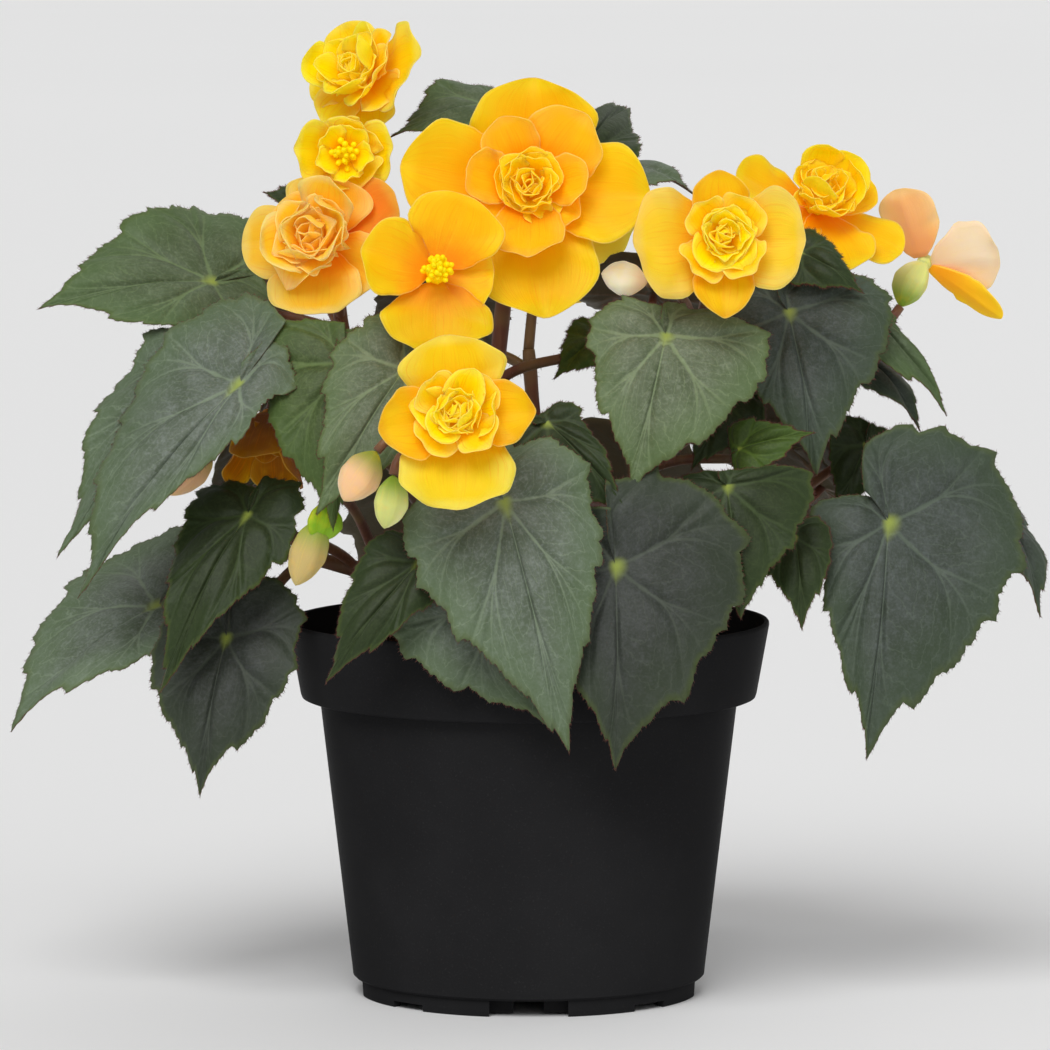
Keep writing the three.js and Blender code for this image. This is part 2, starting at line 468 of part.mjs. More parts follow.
const BLOOMS = [
  { name: 'bloom_top_left', from: ['left', 1], centre: [-44.3, 247, -10], facing: [-0.45, -0.7, 0.5],
    outer: [[75, 20, 26, 52, 0], [118, 15, 15, 84, 0], [160, 15, 17, 100, 0], [215, 16, 16, 100, 0.3],
      [265, 17, 15, 88, 0.3], [330, 17, 17, 70, 0.2]],
    whorls: [[5, 13, 9, 52, 20]] },
  { name: 'bloom_cup', from: ['left', 0.95], centre: [-49.1, 227.1, -26], facing: [-0.05, -0.92, 0.1],
    outer: [[85, 13, 13, 66, 0], [150, 10.5, 12, 70, 0], [210, 10.5, 12, 68, 0], [275, 14, 12, 68, 0],
      [330, 10, 12, 62, 0], [30, 10, 12, 62, 0]],
    whorls: [[4, 8, 6, 45, 45]], stamens: 5 },
  { name: 'bloom_left', from: ['left', 0.85], centre: [-56.4, 203.6, -32], facing: [-0.25, -0.9, 0.3],
    outer: [[266, 21, 20, 82, 0], [316, 15, 15, 80, 0], [5, 17, 20, 80, 0], [52, 24, 20, 84, 0],
      [120, 20, 20, 88, 0], [176, 21, 26, 90, 0]],
    whorls: [[5, 14, 12, 58, 20]] },
  { name: 'bloom_single', from: ['centre', 0.8], centre: [-24.8, 195.1, -60], facing: [0.05, -0.94, 0.3],
    outer: [[14, 22, 22, 82, 0], [66, 15, 15, 86, 0], [190, 20.5, 28, 84, 0], [284, 21.5, 20, 80, 0]],
    whorls: [], stamens: 7 },
  { name: 'bloom_centre', from: ['centre', 1], centre: [0.3, 217.6, -42], facing: [0, -0.96, 0.26],
    outer: [[3, 29, 34, 80, 0], [95, 32, 27, 86, 0], [174, 35, 32, 86, 0], [278, 35, 27, 84, 0]],
    inner: [[40, 25, 22, 68, 0], [84, 18, 14, 64, 0], [124, 17, 12, 72, 0.7], [182, 22.5, 20, 70, 0],
      [230, 16, 14, 66, 0], [280, 20, 15, 66, 0], [335, 21, 16, 66, 0]],
    whorls: [[5, 12, 9, 42, 20]] },
  { name: 'bloom_right', from: ['right', 0.66], centre: [52.1, 204.1, -54], facing: [0.05, -0.97, 0.2],
    outer: [[265, 23.5, 30, 84, 0], [92, 21.5, 27, 84, 0], [358, 18.5, 15, 84, 0.6],
      [180, 21.5, 17, 86, 0.7]],
    inner: [[42, 14, 14, 62, 0], [138, 14, 14, 64, 0], [222, 14, 14, 64, 0], [318, 13, 13, 62, 0]],
    whorls: [[4, 10, 8, 40, 0]] },
  { name: 'bloom_right_back', from: ['right', 1], centre: [77.2, 213, -5], facing: [0.3, -0.65, 0.7],
    outer: [[300, 24, 18, 84, 0], [78, 18, 16, 80, 0.2], [122, 24, 20, 88, 0], [172, 22, 18, 90, 0],
      [235, 15, 15, 84, 0]],
    whorls: [[5, 13, 10, 54, 10]] },
  { name: 'bloom_lower', from: ['front', 1], centre: [-19.4, 156.6, -90], facing: [0, -0.97, 0.22],
    outer: [[355, 19, 27, 82, 0], [92, 21, 17, 84, 0.6], [180, 25, 31, 84, 0], [262, 21, 20, 84, 0.6]],
    inner: [[45, 14, 13, 62, 0], [135, 14, 13, 64, 0], [222, 14, 13, 64, 0], [315, 13.5, 13, 62, 0]],
    whorls: [[4, 10, 8, 40, 10]] },
  { name: 'bloom_shaded', from: ['left', 0.45], centre: [-70, 155, -25], facing: [-0.1, -0.35, -0.93],
    outer: [[0, 20, 15, 38, 0], [90, 22, 17, 36, 0], [180, 22, 16, 36, 0], [270, 21, 17, 34, 0]],
    whorls: [[3, 9, 6, 30, 45]] },
  { name: 'bloom_back', from: ['back', 1], centre: [4, 206, 52], facing: [0.1, 0.9, 0.42],
    outer: [[0, 24, 27, 82, 0], [92, 25, 23, 84, 0], [180, 26, 28, 86, 0], [270, 25, 24, 84, 0]],
    whorls: [[5, 15, 13, 58, 10]] },
];
const CORE_RADIUS = 3.8;

function bloomFrame(bloom) {
  const centre = seen(bloom.centre);
  const axis = vector(bloom.facing).normalize();
  const up = new THREE.Vector3(0, 0, 1);
  up.addScaledVector(axis, -up.dot(axis)).normalize();
  const across = up.clone().cross(axis);
  const towards = (clock) => up.clone().multiplyScalar(Math.cos(radians(clock)))
    .addScaledVector(across, Math.sin(radians(clock)));
  return { centre, axis, towards };
}

function bloomGeometry(bloom) {
  const { centre, axis, towards } = bloomFrame(bloom);
  const { outer, inner = [], whorls, stamens = 0 } = bloom;
  const core = new THREE.IcosahedronGeometry(CORE_RADIUS, 0);
  const corner = new THREE.Vector3().fromBufferAttribute(core.getAttribute('position'), 0).normalize();
  core.applyQuaternion(new THREE.Quaternion().setFromUnitVectors(corner, axis));
  const parts = [core.translate(centre.x, centre.y, centre.z)];
  const cellsFor = (length) => (length > FULL_LENGTH ? FULL_PETAL : PLAIN_PETAL);
  const layer = (petals, forward, cells) => petals.forEach((row, i) => {
    const [clock, length, width, open, point, curl] = row;
    const over = i % 2;
    const root = centre.clone().addScaledVector(axis, forward + over * 0.7);
    const petal = { length, width, open: open - 4 * over, point, curl, cup: 0.02 + 0.14 * over };
    parts.push(petalGeometry(root, axis, towards(clock), petal, cells ?? cellsFor(length)));
  });
  layer(outer, -1.8);
  layer(inner, -0.3);
  whorls.forEach(([count, length, width, open, clock], tier) => {
    const petals = Array.from({ length: count }, (_, i) => [
      clock + (360 * i) / count, length * (1 - 0.08 * (i % 2)), width, open + 6 * (i % 2), 0.4, -26]);
    layer(petals, 0.8 + tier * 0.5, SMALL_PETAL);
  });
  for (let i = 0; i < stamens; i += 1) {
    const ring = i === 0 ? 0 : 2.2;
    const spot = centre.clone().addScaledVector(axis, i === 0 ? 3.9 : 2.9)
      .addScaledVector(towards((360 * i) / (stamens - 1)), ring);
    parts.push(new THREE.OctahedronGeometry(1.5).translate(spot.x, spot.y, spot.z));
  }
  return joined(parts);
}

for (const bloom of BLOOMS) place(bloom.name, bloomGeometry(bloom), FINISH.petal);

// The bloom at the far right shows its back: two broad petals and a narrow one above a winged ovary

const SEED_BLOOM = { name: 'bloom_far_right', from: ['right', 0.9], ovary: [[100, 186, 3], [107.5, 199, 7]],
  centre: [107.5, 199.5, 8], facing: [0.35, 0.72, 0.6],
  outer: [[20, 18, 18, 62, 0.1], [262, 19, 21, 66, 0], [226, 26, 9, 88, 0.4]] };

// Buds and ovaries: closed pods from `base` to `tip`, `flat` across their face, with `wings`

const POD = [[0.06, 0.34], [0.28, 0.86], [0.55, 1], [0.8, 0.72], [0.95, 0.3]];
const POD_SIDES = 9;

function podGeometry({ base, tip, width, flat = 0.7, face = [0, -1, 0.2], wings = 0 }) {
  const start = seen(base);
  const along = seen(tip).sub(start);
  const length = along.length();
  along.normalize();
  const front = vector(face);
  front.addScaledVector(along, -front.dot(along)).normalize();
  const side = front.clone().cross(along);
  const points = [start.clone()];
  for (const [s, share] of POD) {
    for (let j = 0; j < POD_SIDES; j += 1) {
      const angle = (j / POD_SIDES) * 2 * Math.PI;
      const swell = 1 + wings * (j % 3 === 0 ? 1 : -0.35);
      points.push(start.clone().addScaledVector(along, s * length)
        .addScaledVector(side, (width / 2) * share * swell * Math.cos(angle))
        .addScaledVector(front, (width / 2) * share * swell * flat * Math.sin(angle)));
    }
  }
  points.push(start.clone().addScaledVector(along, length));
  const last = points.length - 1;
  const faces = [];
  for (let j = 0; j < POD_SIDES; j += 1) {
    const next = (j + 1) % POD_SIDES;
    faces.push([0, 1 + j, 1 + next], [last, last - POD_SIDES + next, last - POD_SIDES + j]);
    for (let row = 0; row < POD.length - 1; row += 1) {
      const [a, b] = [1 + row * POD_SIDES + j, 1 + row * POD_SIDES + next];
      faces.push([a, a + POD_SIDES, b], [b, a + POD_SIDES, b + POD_SIDES]);
    }
  }
  return weld(meshOf(points, faces));
}

const BUDS = [
  { name: 'bud_centre', from: ['right', 0.7], base: [32, 192.5, -38], tip: [19.5, 195, -40],
    width: 9.4, flat: 0.5 },
  { name: 'bud_left', from: ['far_left', 0.9], base: [-86, 150, -8], tip: [-97, 135, -10],
    width: 11, flat: 0.5 },
  { name: 'bud_lower', from: ['front', 0.9], lead: [0, -1, 0.1], base: [-41, 147, -75],
    tip: [-50, 133.5, -77], width: 11, flat: 0.6 },
  { name: 'bud_ovary', from: ['front', 0.75], base: [-36.5, 140.6, -81], tip: [-39, 126, -82],
    width: 8.5, flat: 0.9, wings: 0.25 },
  { name: 'bud_low_left', from: ['far_left', 0.6], base: [-56, 129, -52], tip: [-63, 110.5, -53],
    width: 10, flat: 0.6 },
];

for (const bud of BUDS) place(bud.name, podGeometry(bud), FINISH.bud);

function seedBloomGeometry() {
  const { centre, axis, towards } = bloomFrame(SEED_BLOOM);
  const parts = SEED_BLOOM.outer.map(([clock, length, width, open, point]) => (
    petalGeometry(centre, axis, towards(clock), { length, width, open, point, curl: 10 })));
  const [base, tip] = SEED_BLOOM.ovary;
  parts.push(podGeometry({ base, tip, width: 9, flat: 0.9, wings: 0.25 }));
  parts.push(new THREE.IcosahedronGeometry(2.6, 0).translate(centre.x, centre.y, centre.z));
  return joined(parts);
}
place(SEED_BLOOM.name, seedBloomGeometry(), FINISH.salmon);

// Stems: the crown, the main stems that rise from it, and a stalk to every blade, bloom and bud

const STEMS = {
  left: [[0, 0, 88], [-14, -3, 112], [-34, -6, 142], [-48, -4, 172], [-52, -4, 196]],
  centre: [[0, 0, 88], [-3, 1, 116], [-9, 3, 150], [-7, 4, 185], [-4, 2, 205]],
  right: [[0, 0, 88], [14, 1, 114], [34, 0, 146], [48, 0, 174], [56, 0, 192]],
  far_left: [[0, 0, 88], [-20, -2, 106], [-44, -6, 115], [-66, -4, 120]],
  far_right: [[0, 0, 88], [22, -1, 108], [48, -3, 118], [74, -6, 128]],
  front: [[0, 0, 88], [-2, -14, 110], [-8, -32, 126], [-12, -44, 142]],
  back: [[0, 0, 88], [2, 14, 112], [2, 28, 142], [0, 34, 172]],
};

class StemLine extends THREE.Curve {
  constructor(points) {
    super();
    this.points = points;
  }

  getPoint(s) {
    return vector(through(this.points, s));
  }
}

const stemAt = ([stem, share]) => vector(through(STEMS[stem], share));

// A stalk leaves its stem rising and meets what it carries along `arrive`
function stalkGeometry(start, end, arrive, lead) {
  const chord = end.clone().sub(start);
  const reach = chord.length();
  const leave = lead ? vector(lead) : chord.clone().normalize().add(new THREE.Vector3(0, 0, 0.5));
  leave.normalize();
  const curve = new THREE.CubicBezierCurve3(start, start.clone().addScaledVector(leave, reach * 0.35),
    end.clone().addScaledVector(arrive, -Math.min(reach * 0.4, 16)), end);
  return tube(curve, reach < 55 ? 3 : 4, 4, (s) => STALK_RADIUS * (1.3 - 0.2 * s));
}

function bladeStalk(leaf) {
  const frame = frameOf(leaf);
  const { arch = 0.06 } = leaf;
  const normal = frame.face.clone().addScaledVector(frame.along, -4 * arch).normalize();
  const end = frame.base.clone().addScaledVector(frame.face, -BLADE).addScaledVector(normal, -GAP - 0.05);
  const arrive = normal.clone().addScaledVector(frame.along, 0.2).normalize();
  return stalkGeometry(stemAt(leaf.from), end, arrive, leaf.lead);
}

function bloomStalk(bloom) {
  const { centre, axis } = bloomFrame(bloom);
  const end = centre.clone().addScaledVector(axis, -CORE_RADIUS - GAP);
  return stalkGeometry(stemAt(bloom.from), end, axis, bloom.lead);
}

function podStalk({ from, base, tip, lead }) {
  const end = seen(base);
  const arrive = seen(tip).sub(end).normalize();
  return stalkGeometry(stemAt(from), end.addScaledVector(arrive, -GAP), arrive, lead);
}

function stemsGeometry() {
  const crown = revolved([
    [0, SOIL_LEVEL - CROWN_DEPTH], [CROWN_RADIUS - 2, SOIL_LEVEL - CROWN_DEPTH],
    [CROWN_RADIUS, SOIL_LEVEL - CROWN_DEPTH + 3], [CROWN_RADIUS, SOIL_LEVEL + 1],
    [CROWN_RADIUS - 3, SOIL_LEVEL + 5], [0, SOIL_LEVEL + 6.5],
  ], 9);
  const stems = Object.values(STEMS).map((points) => (
    tube(new StemLine(points), 5, 5, (s) => STEM_RADIUS * (1 - 0.45 * s))));
  const [base, tip] = SEED_BLOOM.ovary;
  return joined([crown, ...stems, ...LEAVES.map(bladeStalk), ...BLOOMS.map(bloomStalk),
    ...BUDS.map(podStalk), podStalk({ from: SEED_BLOOM.from, base, tip })]);
}
place('stems', stemsGeometry(), FINISH.stem);

export default plant;
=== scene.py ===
# A begonia with double orange-yellow blooms in a round 13 cm nursery pot

import json

import bmesh
import bpy
import numpy as np
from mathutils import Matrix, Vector

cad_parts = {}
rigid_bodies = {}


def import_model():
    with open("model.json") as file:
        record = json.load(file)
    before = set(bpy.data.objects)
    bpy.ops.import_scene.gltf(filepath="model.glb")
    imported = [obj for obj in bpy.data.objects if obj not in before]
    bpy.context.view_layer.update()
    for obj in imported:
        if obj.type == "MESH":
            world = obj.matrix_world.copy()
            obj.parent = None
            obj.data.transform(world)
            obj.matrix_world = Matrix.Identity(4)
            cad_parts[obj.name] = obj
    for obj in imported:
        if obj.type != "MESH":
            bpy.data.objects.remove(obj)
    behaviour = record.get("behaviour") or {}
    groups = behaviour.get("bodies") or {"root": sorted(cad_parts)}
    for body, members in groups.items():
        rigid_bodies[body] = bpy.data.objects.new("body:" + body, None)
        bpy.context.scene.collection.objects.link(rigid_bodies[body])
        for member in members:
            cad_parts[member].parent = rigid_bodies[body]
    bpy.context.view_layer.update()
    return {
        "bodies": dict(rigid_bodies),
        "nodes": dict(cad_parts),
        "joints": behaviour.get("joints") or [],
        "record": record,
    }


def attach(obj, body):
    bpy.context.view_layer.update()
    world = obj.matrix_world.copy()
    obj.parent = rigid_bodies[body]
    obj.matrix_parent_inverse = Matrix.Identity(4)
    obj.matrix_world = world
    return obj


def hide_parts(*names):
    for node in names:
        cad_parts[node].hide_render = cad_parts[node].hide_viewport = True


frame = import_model()

# Driving dimensions in millimetres, as in the solids
MM = 0.001
RIM_RADIUS = 65
POT_HEIGHT = 101.5
LIP_HEIGHT = 21
LIP_FOOT_RADIUS = 61.7
BODY_TOP_RADIUS = 56.5
BODY_FOOT_RADIUS = 47.9
FOOT_RADIUS = 45.9
FOOT_HEIGHT = 4.6
FOOT_WIDTH = 2.6
POT_WALL = 1.4
NOTCH_WIDTH = 21
NOTCH_HEIGHT = 4.4
NOTCH_GAP = 8
RELIEF_WIDTH = 11
FOOT_RELIEF = 1.8
LUG_RADIUS = 40
LUG_DEPTH = 2
LUG_LIFT = 0.6
DRAIN_RADIUS = 3
DRAIN_RING = 28
SOIL_LEVEL = POT_HEIGHT - 10
CROWN_RADIUS = 9
CROWN_DEPTH = 17
STALK_RADIUS = 1.15
STEM_RADIUS = 3.2
BLADE = 0.8
CORE_RADIUS = 3.8

# Sides and steps of the fine pieces
POT_SIDES = 160
CROWN_SIDES = 48
BLADE_STEPS = 132
BLADE_RINGS = 15
HIDDEN_STEPS = 64
HIDDEN_RINGS = 10

# Veins of the leaves: main spans a side, and where their forks start on the way to the edge
VEIN_SPANS = 3.5
FORK_START = 0.45
FORK_SPREAD = 0.28
TWIG_START = 0.7
TWIG_SPREAD = 0.13

# Teeth, waves and puckers of the leaves in millimetres, and hairs a step of the edge
TOOTH_PITCH = 2.4
TOOTH_HEIGHT = 0.8
LOBE_PITCH = 9.5
LOBE_HEIGHT = 3.0
EDGE_SWAY = 1.3
EDGE_INSET = 1.4
PUFF = 1.0
CURL = 1.4
ROLL = 0.9
CROSSING = 8
SHORT_BLADE = 30
FULL_BLADE = 55
EDGE_HAIRS = 3
HIDDEN_HAIRS = 1

# Fine detail of the blooms in millimetres and degrees
GOLDEN_TURN = 137.5
ROOT_OFFSET = 2
ROOT_HALF = 2
PETAL_GAP = 1.3
PETAL_CURL = -12
WHORL_CURL = -26
FINE_PETAL = (22, 17)
SMALL_PETAL = (11, 10)
# Rings of the small petals: how many, their size, opening, curl and distance from the axis
ROSETTE_RINGS = [(6, 1.12, 60, -34, 2), (6, 0.92, 46, -40, 1.7), (5, 0.7, 30, -40, 1.2),
                 (4, 0.5, 16, -34, 0.6)]

# Fine detail of the stems
STEM_HAIRS = 90
STALK_POINTS = 16

# Fine detail of the soil
SOIL_SIDES = 160
SOIL_ROWS = 46
SOIL_CRUMBS = 900
SOIL_GAP = 0.45
CRUMB_REACH = 58
# Radius and rise of the soil from the crown out to the wall
SOIL_RISE = [(0, 0), (11, -0.2), (22, 0.6), (33, 1), (44, 0.7), (54, 0.3), (61, -0.3)]

# Seeds of the random draws; each leaf and bloom adds its number in its table
LEAF_SEED = 100
BLOOM_SEED = 500
SEED_BLOOM_SEED = 77
STEM_SEED = 9
SOIL_SEED = 31

# Camera, light and floor; each light has its place in metres, softness in degrees and strength
LENS = 254
SENSOR = 36
CLIP = (0.1, 20)
SKY_STRENGTH = 0.28
LIGHTS = dict(
    key=((-0.4, -1.4, 1.45), 35, 1.95),
    fill=((0.7, -1.6, 0.8), 60, 0.5),
    back=((0.8, 1.4, 1.2), 60, 0.5),
)
FLOOR_HALF = 30

# Places in the tables are (x, z, depth): x and z as they line up with the pot's middle plane when
# seen from VIEWPOINT, and depth along +Y, so a place further forward has a negative depth.
VIEWPOINT = np.array((-1.0, -1990.8, 318.7))
TARGET = np.array((-1.0, 0.0, 127.0))


def seen(place):
    """A place of the tables as a point in millimetres"""
    x, z, depth = place
    share = (depth - VIEWPOINT[1]) / -VIEWPOINT[1]
    return VIEWPOINT + (np.array((x, 0.0, z)) - VIEWPOINT) * share


def unit(vector):
    vector = np.asarray(vector, float)
    return vector / np.linalg.norm(vector)


def across(vector, axis):
    """The part of a vector that is square to an axis, made one long"""
    return unit(np.asarray(vector, float) - np.dot(vector, axis) * axis)


def line_frame(base, tip, face):
    """The base of a line between two places, its directions along, off the face and across, and its
    length"""
    start = seen(base)
    chord = seen(tip) - start
    length = np.linalg.norm(chord)
    along = chord / length
    front = across(face, along)
    return start, along, front, np.cross(front, along), length


def round_turn(count):
    """Even angles round a circle"""
    return np.linspace(0, 2 * np.pi, count, endpoint=False)


def spun(r, turn, z):
    """A grid of points at radii r and heights z (by row) and angles turn (by column)"""
    return np.stack(np.broadcast_arrays(r * np.cos(turn), r * np.sin(turn), z), axis=2)


def through(points, s):
    """Points at shares s along the smooth line through a list of points"""
    table = np.array(points, float)
    last = len(table) - 1
    place = np.clip(s, 0, 1) * last
    i = np.minimum(np.floor(place).astype(int), last - 1)
    t = (place - i)[..., None]
    p0 = table[np.maximum(i - 1, 0)]
    p1 = table[i]
    p2 = table[i + 1]
    p3 = table[np.minimum(i + 2, last)]
    return 0.5 * (2 * p1 + (p2 - p0) * t + (2 * p0 - 5 * p1 + 4 * p2 - p3) * t * t
                  + (3 * p1 - p0 - 3 * p2 + p3) * t * t * t)


def ease(low, high, x):
    """0 below low, 1 above high, smooth between"""
    t = np.clip((x - low) / (high - low), 0, 1)
    return t * t * (3 - 2 * t)


def linear(red, green, blue):
    """A colour of 0 to 255 as Blender's linear values"""
    c = np.array((red, green, blue)) / 255
    return np.where(c <= 0.04045, c / 12.92, ((c + 0.055) / 1.055) ** 2.4)


class Shape:
    """Collects the points and faces of one piece, with a value or colour a point for each layer"""

    def __init__(self, values=(), colours=()):
        self.points = []
        self.faces = []
        self.count = 0
        self.layers = {name: [] for name in (*values, *colours)}
        self.colours = colours

    def add(self, points, faces, **values):
        points = np.asarray(points, float).reshape(-1, 3)
        self.points.append(points)
        self.faces += [[corner + self.count for corner in face] for face in faces]
        self.count += len(points)
        for name, parts in self.layers.items():
            form = (len(points), 3) if name in self.colours else len(points)
            parts.append(np.broadcast_to(np.asarray(values.get(name, 0.0), float), form))

    def piece(self, node, material, slot):
        name = node + "_fine"
        mesh = bpy.data.meshes.new(name)
        mesh.from_pydata((np.concatenate(self.points) * MM).tolist(), [], self.faces)
        for key, parts in self.layers.items():
            data = np.concatenate(parts)
            if key not in self.colours:
                mesh.attributes.new(key, "FLOAT", "POINT").data.foreach_set("value", data)
            else:
                rgba = np.concatenate([data, np.ones((len(data), 1))], axis=1)
                layer = mesh.attributes.new(key, "FLOAT_COLOR", "POINT")
                layer.data.foreach_set("color", rgba.ravel())
        weld(mesh)
        mesh.materials.append(material)
        thing = bpy.data.objects.new(name, mesh)
        bpy.context.collection.objects.link(thing)
        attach(thing, "root")
        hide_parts(node)
        return thing


def weld(mesh):
    """Joins points that coincide and shades the mesh smooth"""
    work = bmesh.new()
    work.from_mesh(mesh)
    bmesh.ops.remove_doubles(work, verts=work.verts, dist=1e-7)
    work.to_mesh(mesh)
    work.free()
    mesh.shade_smooth()


def grid(rows, columns, start=0, closed=False):
    """Quads of a grid of points that run row by row"""
    spans = columns if closed else columns - 1
    quads = []
    for j in range(rows - 1):
        for i in range(spans):
            a = start + j * columns + i
            b = start + j * columns + (i + 1) % columns
            quads.append((a, b, b + columns, a + columns))
    return quads


def sheet(shape, front, back, by_point, **values):
    """A closed thin sheet between two grids of points, with values by point that its back repeats;
    front is the side its normals leave from"""
    rows, columns = front.shape[:2]
    count = rows * columns
    faces = [quad[::-1] for quad in grid(rows, columns)]
    faces += grid(rows, columns, count)
    numbers = np.arange(count).reshape(rows, columns)
    rim = [*numbers[0, :-1], *numbers[:-1, -1], *numbers[-1, :0:-1], *numbers[:0:-1, 0]]
    for here, there in zip(rim, rim[1:] + rim[:1]):
        faces.append((here, there, there + count, here + count))
    for key, value in by_point.items():
        values[key] = np.tile(np.broadcast_to(value, (rows, columns)).ravel(), 2)
    points = np.concatenate([front.reshape(-1, 3), back.reshape(-1, 3)])
    shape.add(points, faces, side=np.repeat((0.0, 1.0), count), **values)


# Materials

class Paint:
    """Short calls that build one material's nodes"""

    def __init__(self, name, **constants):
        self.material = bpy.data.materials.new(name)
        self.material.use_nodes = True
        self.tree = self.material.node_tree
        self.shader = self.tree.nodes["Principled BSDF"]
        for socket, value in constants.items():
            self.shader.inputs[socket.replace("_", " ")].default_value = value

    def node(self, kind, inputs, output=0, **settings):
        made = self.tree.nodes.new(kind)
        for key, value in settings.items():
            setattr(made, key, value)
        for key, value in inputs.items():
            if isinstance(value, bpy.types.NodeSocket):
                self.tree.links.new(value, made.inputs[key])
            elif value is not None:
                made.inputs[key].default_value = value
        return made.outputs[output]

    def layer(self, name, output="Fac"):
        return self.node("ShaderNodeAttribute", {}, output, attribute_name=name)

    def place(self):
        return self.node("ShaderNodeTexCoord", {}, "Object")

    def math(self, operation, a, b=None):
        return self.node("ShaderNodeMath", {0: a, 1: b}, operation=operation)

    def times(self, a, b):
        return self.math("MULTIPLY", a, b)

    def between(self, value, low, high, start=0.0, end=1.0, smooth=True):
        kind = "SMOOTHSTEP" if smooth else "LINEAR"
        inputs = {"Value": value, "From Min": low, "From Max": high, "To Min": start, "To Max": end}
        return self.node("ShaderNodeMapRange", inputs, interpolation_type=kind)

    def mix(self, factor, first, second, blend="MIX"):
        first, second = [value if isinstance(value, bpy.types.NodeSocket) else (*value, 1.0)
                         for value in (first, second)]
        return self.node("ShaderNodeMix", {0: factor, 6: first, 7: second}, 2,
                         data_type="RGBA", blend_type=blend)

    def coats(self, colour, *coats):
        """Lays coats over a colour in turn, each a factor and a colour"""
        for factor, coat in coats:
            colour = self.mix(factor, colour, coat)
        return colour

    def noise(self, vector, scale, detail=3.0, roughness=0.55):
        inputs = {"Vector": vector, "Scale": scale, "Detail": detail, "Roughness": roughness}
        return self.node("ShaderNodeTexNoise", inputs, "Fac")

    def stretched(self, vector, scale):
        return self.node("ShaderNodeVectorMath", {0: vector, 1: scale}, operation="MULTIPLY")

    def bump(self, height, distance, strength, normal=None):
        inputs = {"Height": height, "Distance": distance, "Strength": strength, "Normal": normal}
        return self.node("ShaderNodeBump", inputs)

    def set(self, **links):
        for socket, value in links.items():
            self.tree.links.new(value, self.shader.inputs[socket.replace("_", " ")])
        return self.material


# Colours: one for the blade of a leaf; root, body, rim and back for a petal

MID = linear(84, 97, 70)
PALE = linear(100, 110, 86)
GREY = linear(98, 107, 95)
OLIVE = linear(74, 88, 50)
SLATE = linear(66, 73, 67)
DULL = linear(55, 59, 54)
DEEP = linear(44, 55, 28)
FRESH = linear(66, 84, 30)


def tones(*colours):
    return np.array([linear(*colour) for colour in colours])


ORANGE = tones((244, 134, 0), (253, 178, 0), (255, 202, 24), (250, 178, 40))
APRICOT = tones((238, 126, 4), (250, 178, 36), (252, 208, 110), (244, 160, 50))
GOLD = tones((244, 150, 0), (252, 198, 8), (254, 220, 84), (250, 204, 70))
CUP = tones((226, 150, 0), (248, 202, 0), (254, 230, 80), (244, 196, 56))
BUTTER = tones((240, 132, 0), (248, 194, 40), (244, 196, 96), (250, 196, 90))
AMBER = tones((246, 150, 0), (252, 182, 4), (244, 156, 20), (248, 180, 50))
# A dark copy of the amber petals: painted shade for the bloom that hangs deep in the shadow of the
# leaves
SHADED_AMBER = tones((84, 40, 2), (146, 86, 6), (172, 106, 20), (116, 68, 8))
HEART = tones((248, 156, 0), (255, 208, 4), (255, 224, 50), (255, 204, 20))
LEMON = tones((250, 170, 0), (255, 222, 0), (255, 236, 70), (255, 216, 30))
FOLDED = tones((246, 144, 10), (254, 196, 44), (254, 222, 140), (250, 190, 60))
PEACH = tones((240, 128, 0), (252, 178, 12), (248, 174, 50), (252, 196, 100))
VIVID = tones((232, 84, 16), (246, 124, 34), (250, 160, 70), (246, 130, 40))
SALMON = tones((206, 110, 66), (244, 168, 124), (250, 206, 170), (238, 164, 112))
SHELL = tones((246, 178, 138), (253, 224, 202), (247, 198, 164), (248, 206, 174))
OVARY = tones((120, 150, 50), (196, 202, 122), (232, 228, 176), (196, 202, 122))
CREAM = tones((244, 206, 160), (255, 248, 218), (255, 252, 234), (255, 248, 218))
BLUSH = tones((128, 140, 50), (226, 184, 140), (244, 216, 184), (226, 184, 140))
LIME = tones((120, 150, 50), (190, 168, 108), (206, 186, 130), (190, 168, 108))
BRACT = tones((96, 140, 24), (128, 172, 40), (156, 196, 70), (128, 172, 40))

# Tables

# Half of a leaf's edge from the tip: share along the blade, then share of its half width
HALF_OUTLINE = [
    (1, 0), (0.94, 0.045), (0.86, 0.11), (0.74, 0.28), (0.57, 0.55), (0.38, 0.78), (0.18, 0.95),
    (-0.02, 1), (-0.55, 0.92), (-0.88, 0.7), (-1, 0.4), (-0.94, 0.06),
]


def blade(name, tone, root, base, tip, half, lobe, face, **form):
    """A row of the table of leaves: colour, stem and share along it, base and tip of the blade, then
    half widths and lobes on its left and right, and the way it faces"""
    usual = dict(arch=0.08, cup=0.12, wave=0.04, fold=0, close=0.12)
    return dict(usual, name="leaf_" + name, tone=tone, root=root, base=base, tip=tip, half=half,
                lobe=lobe, face=face, **form)


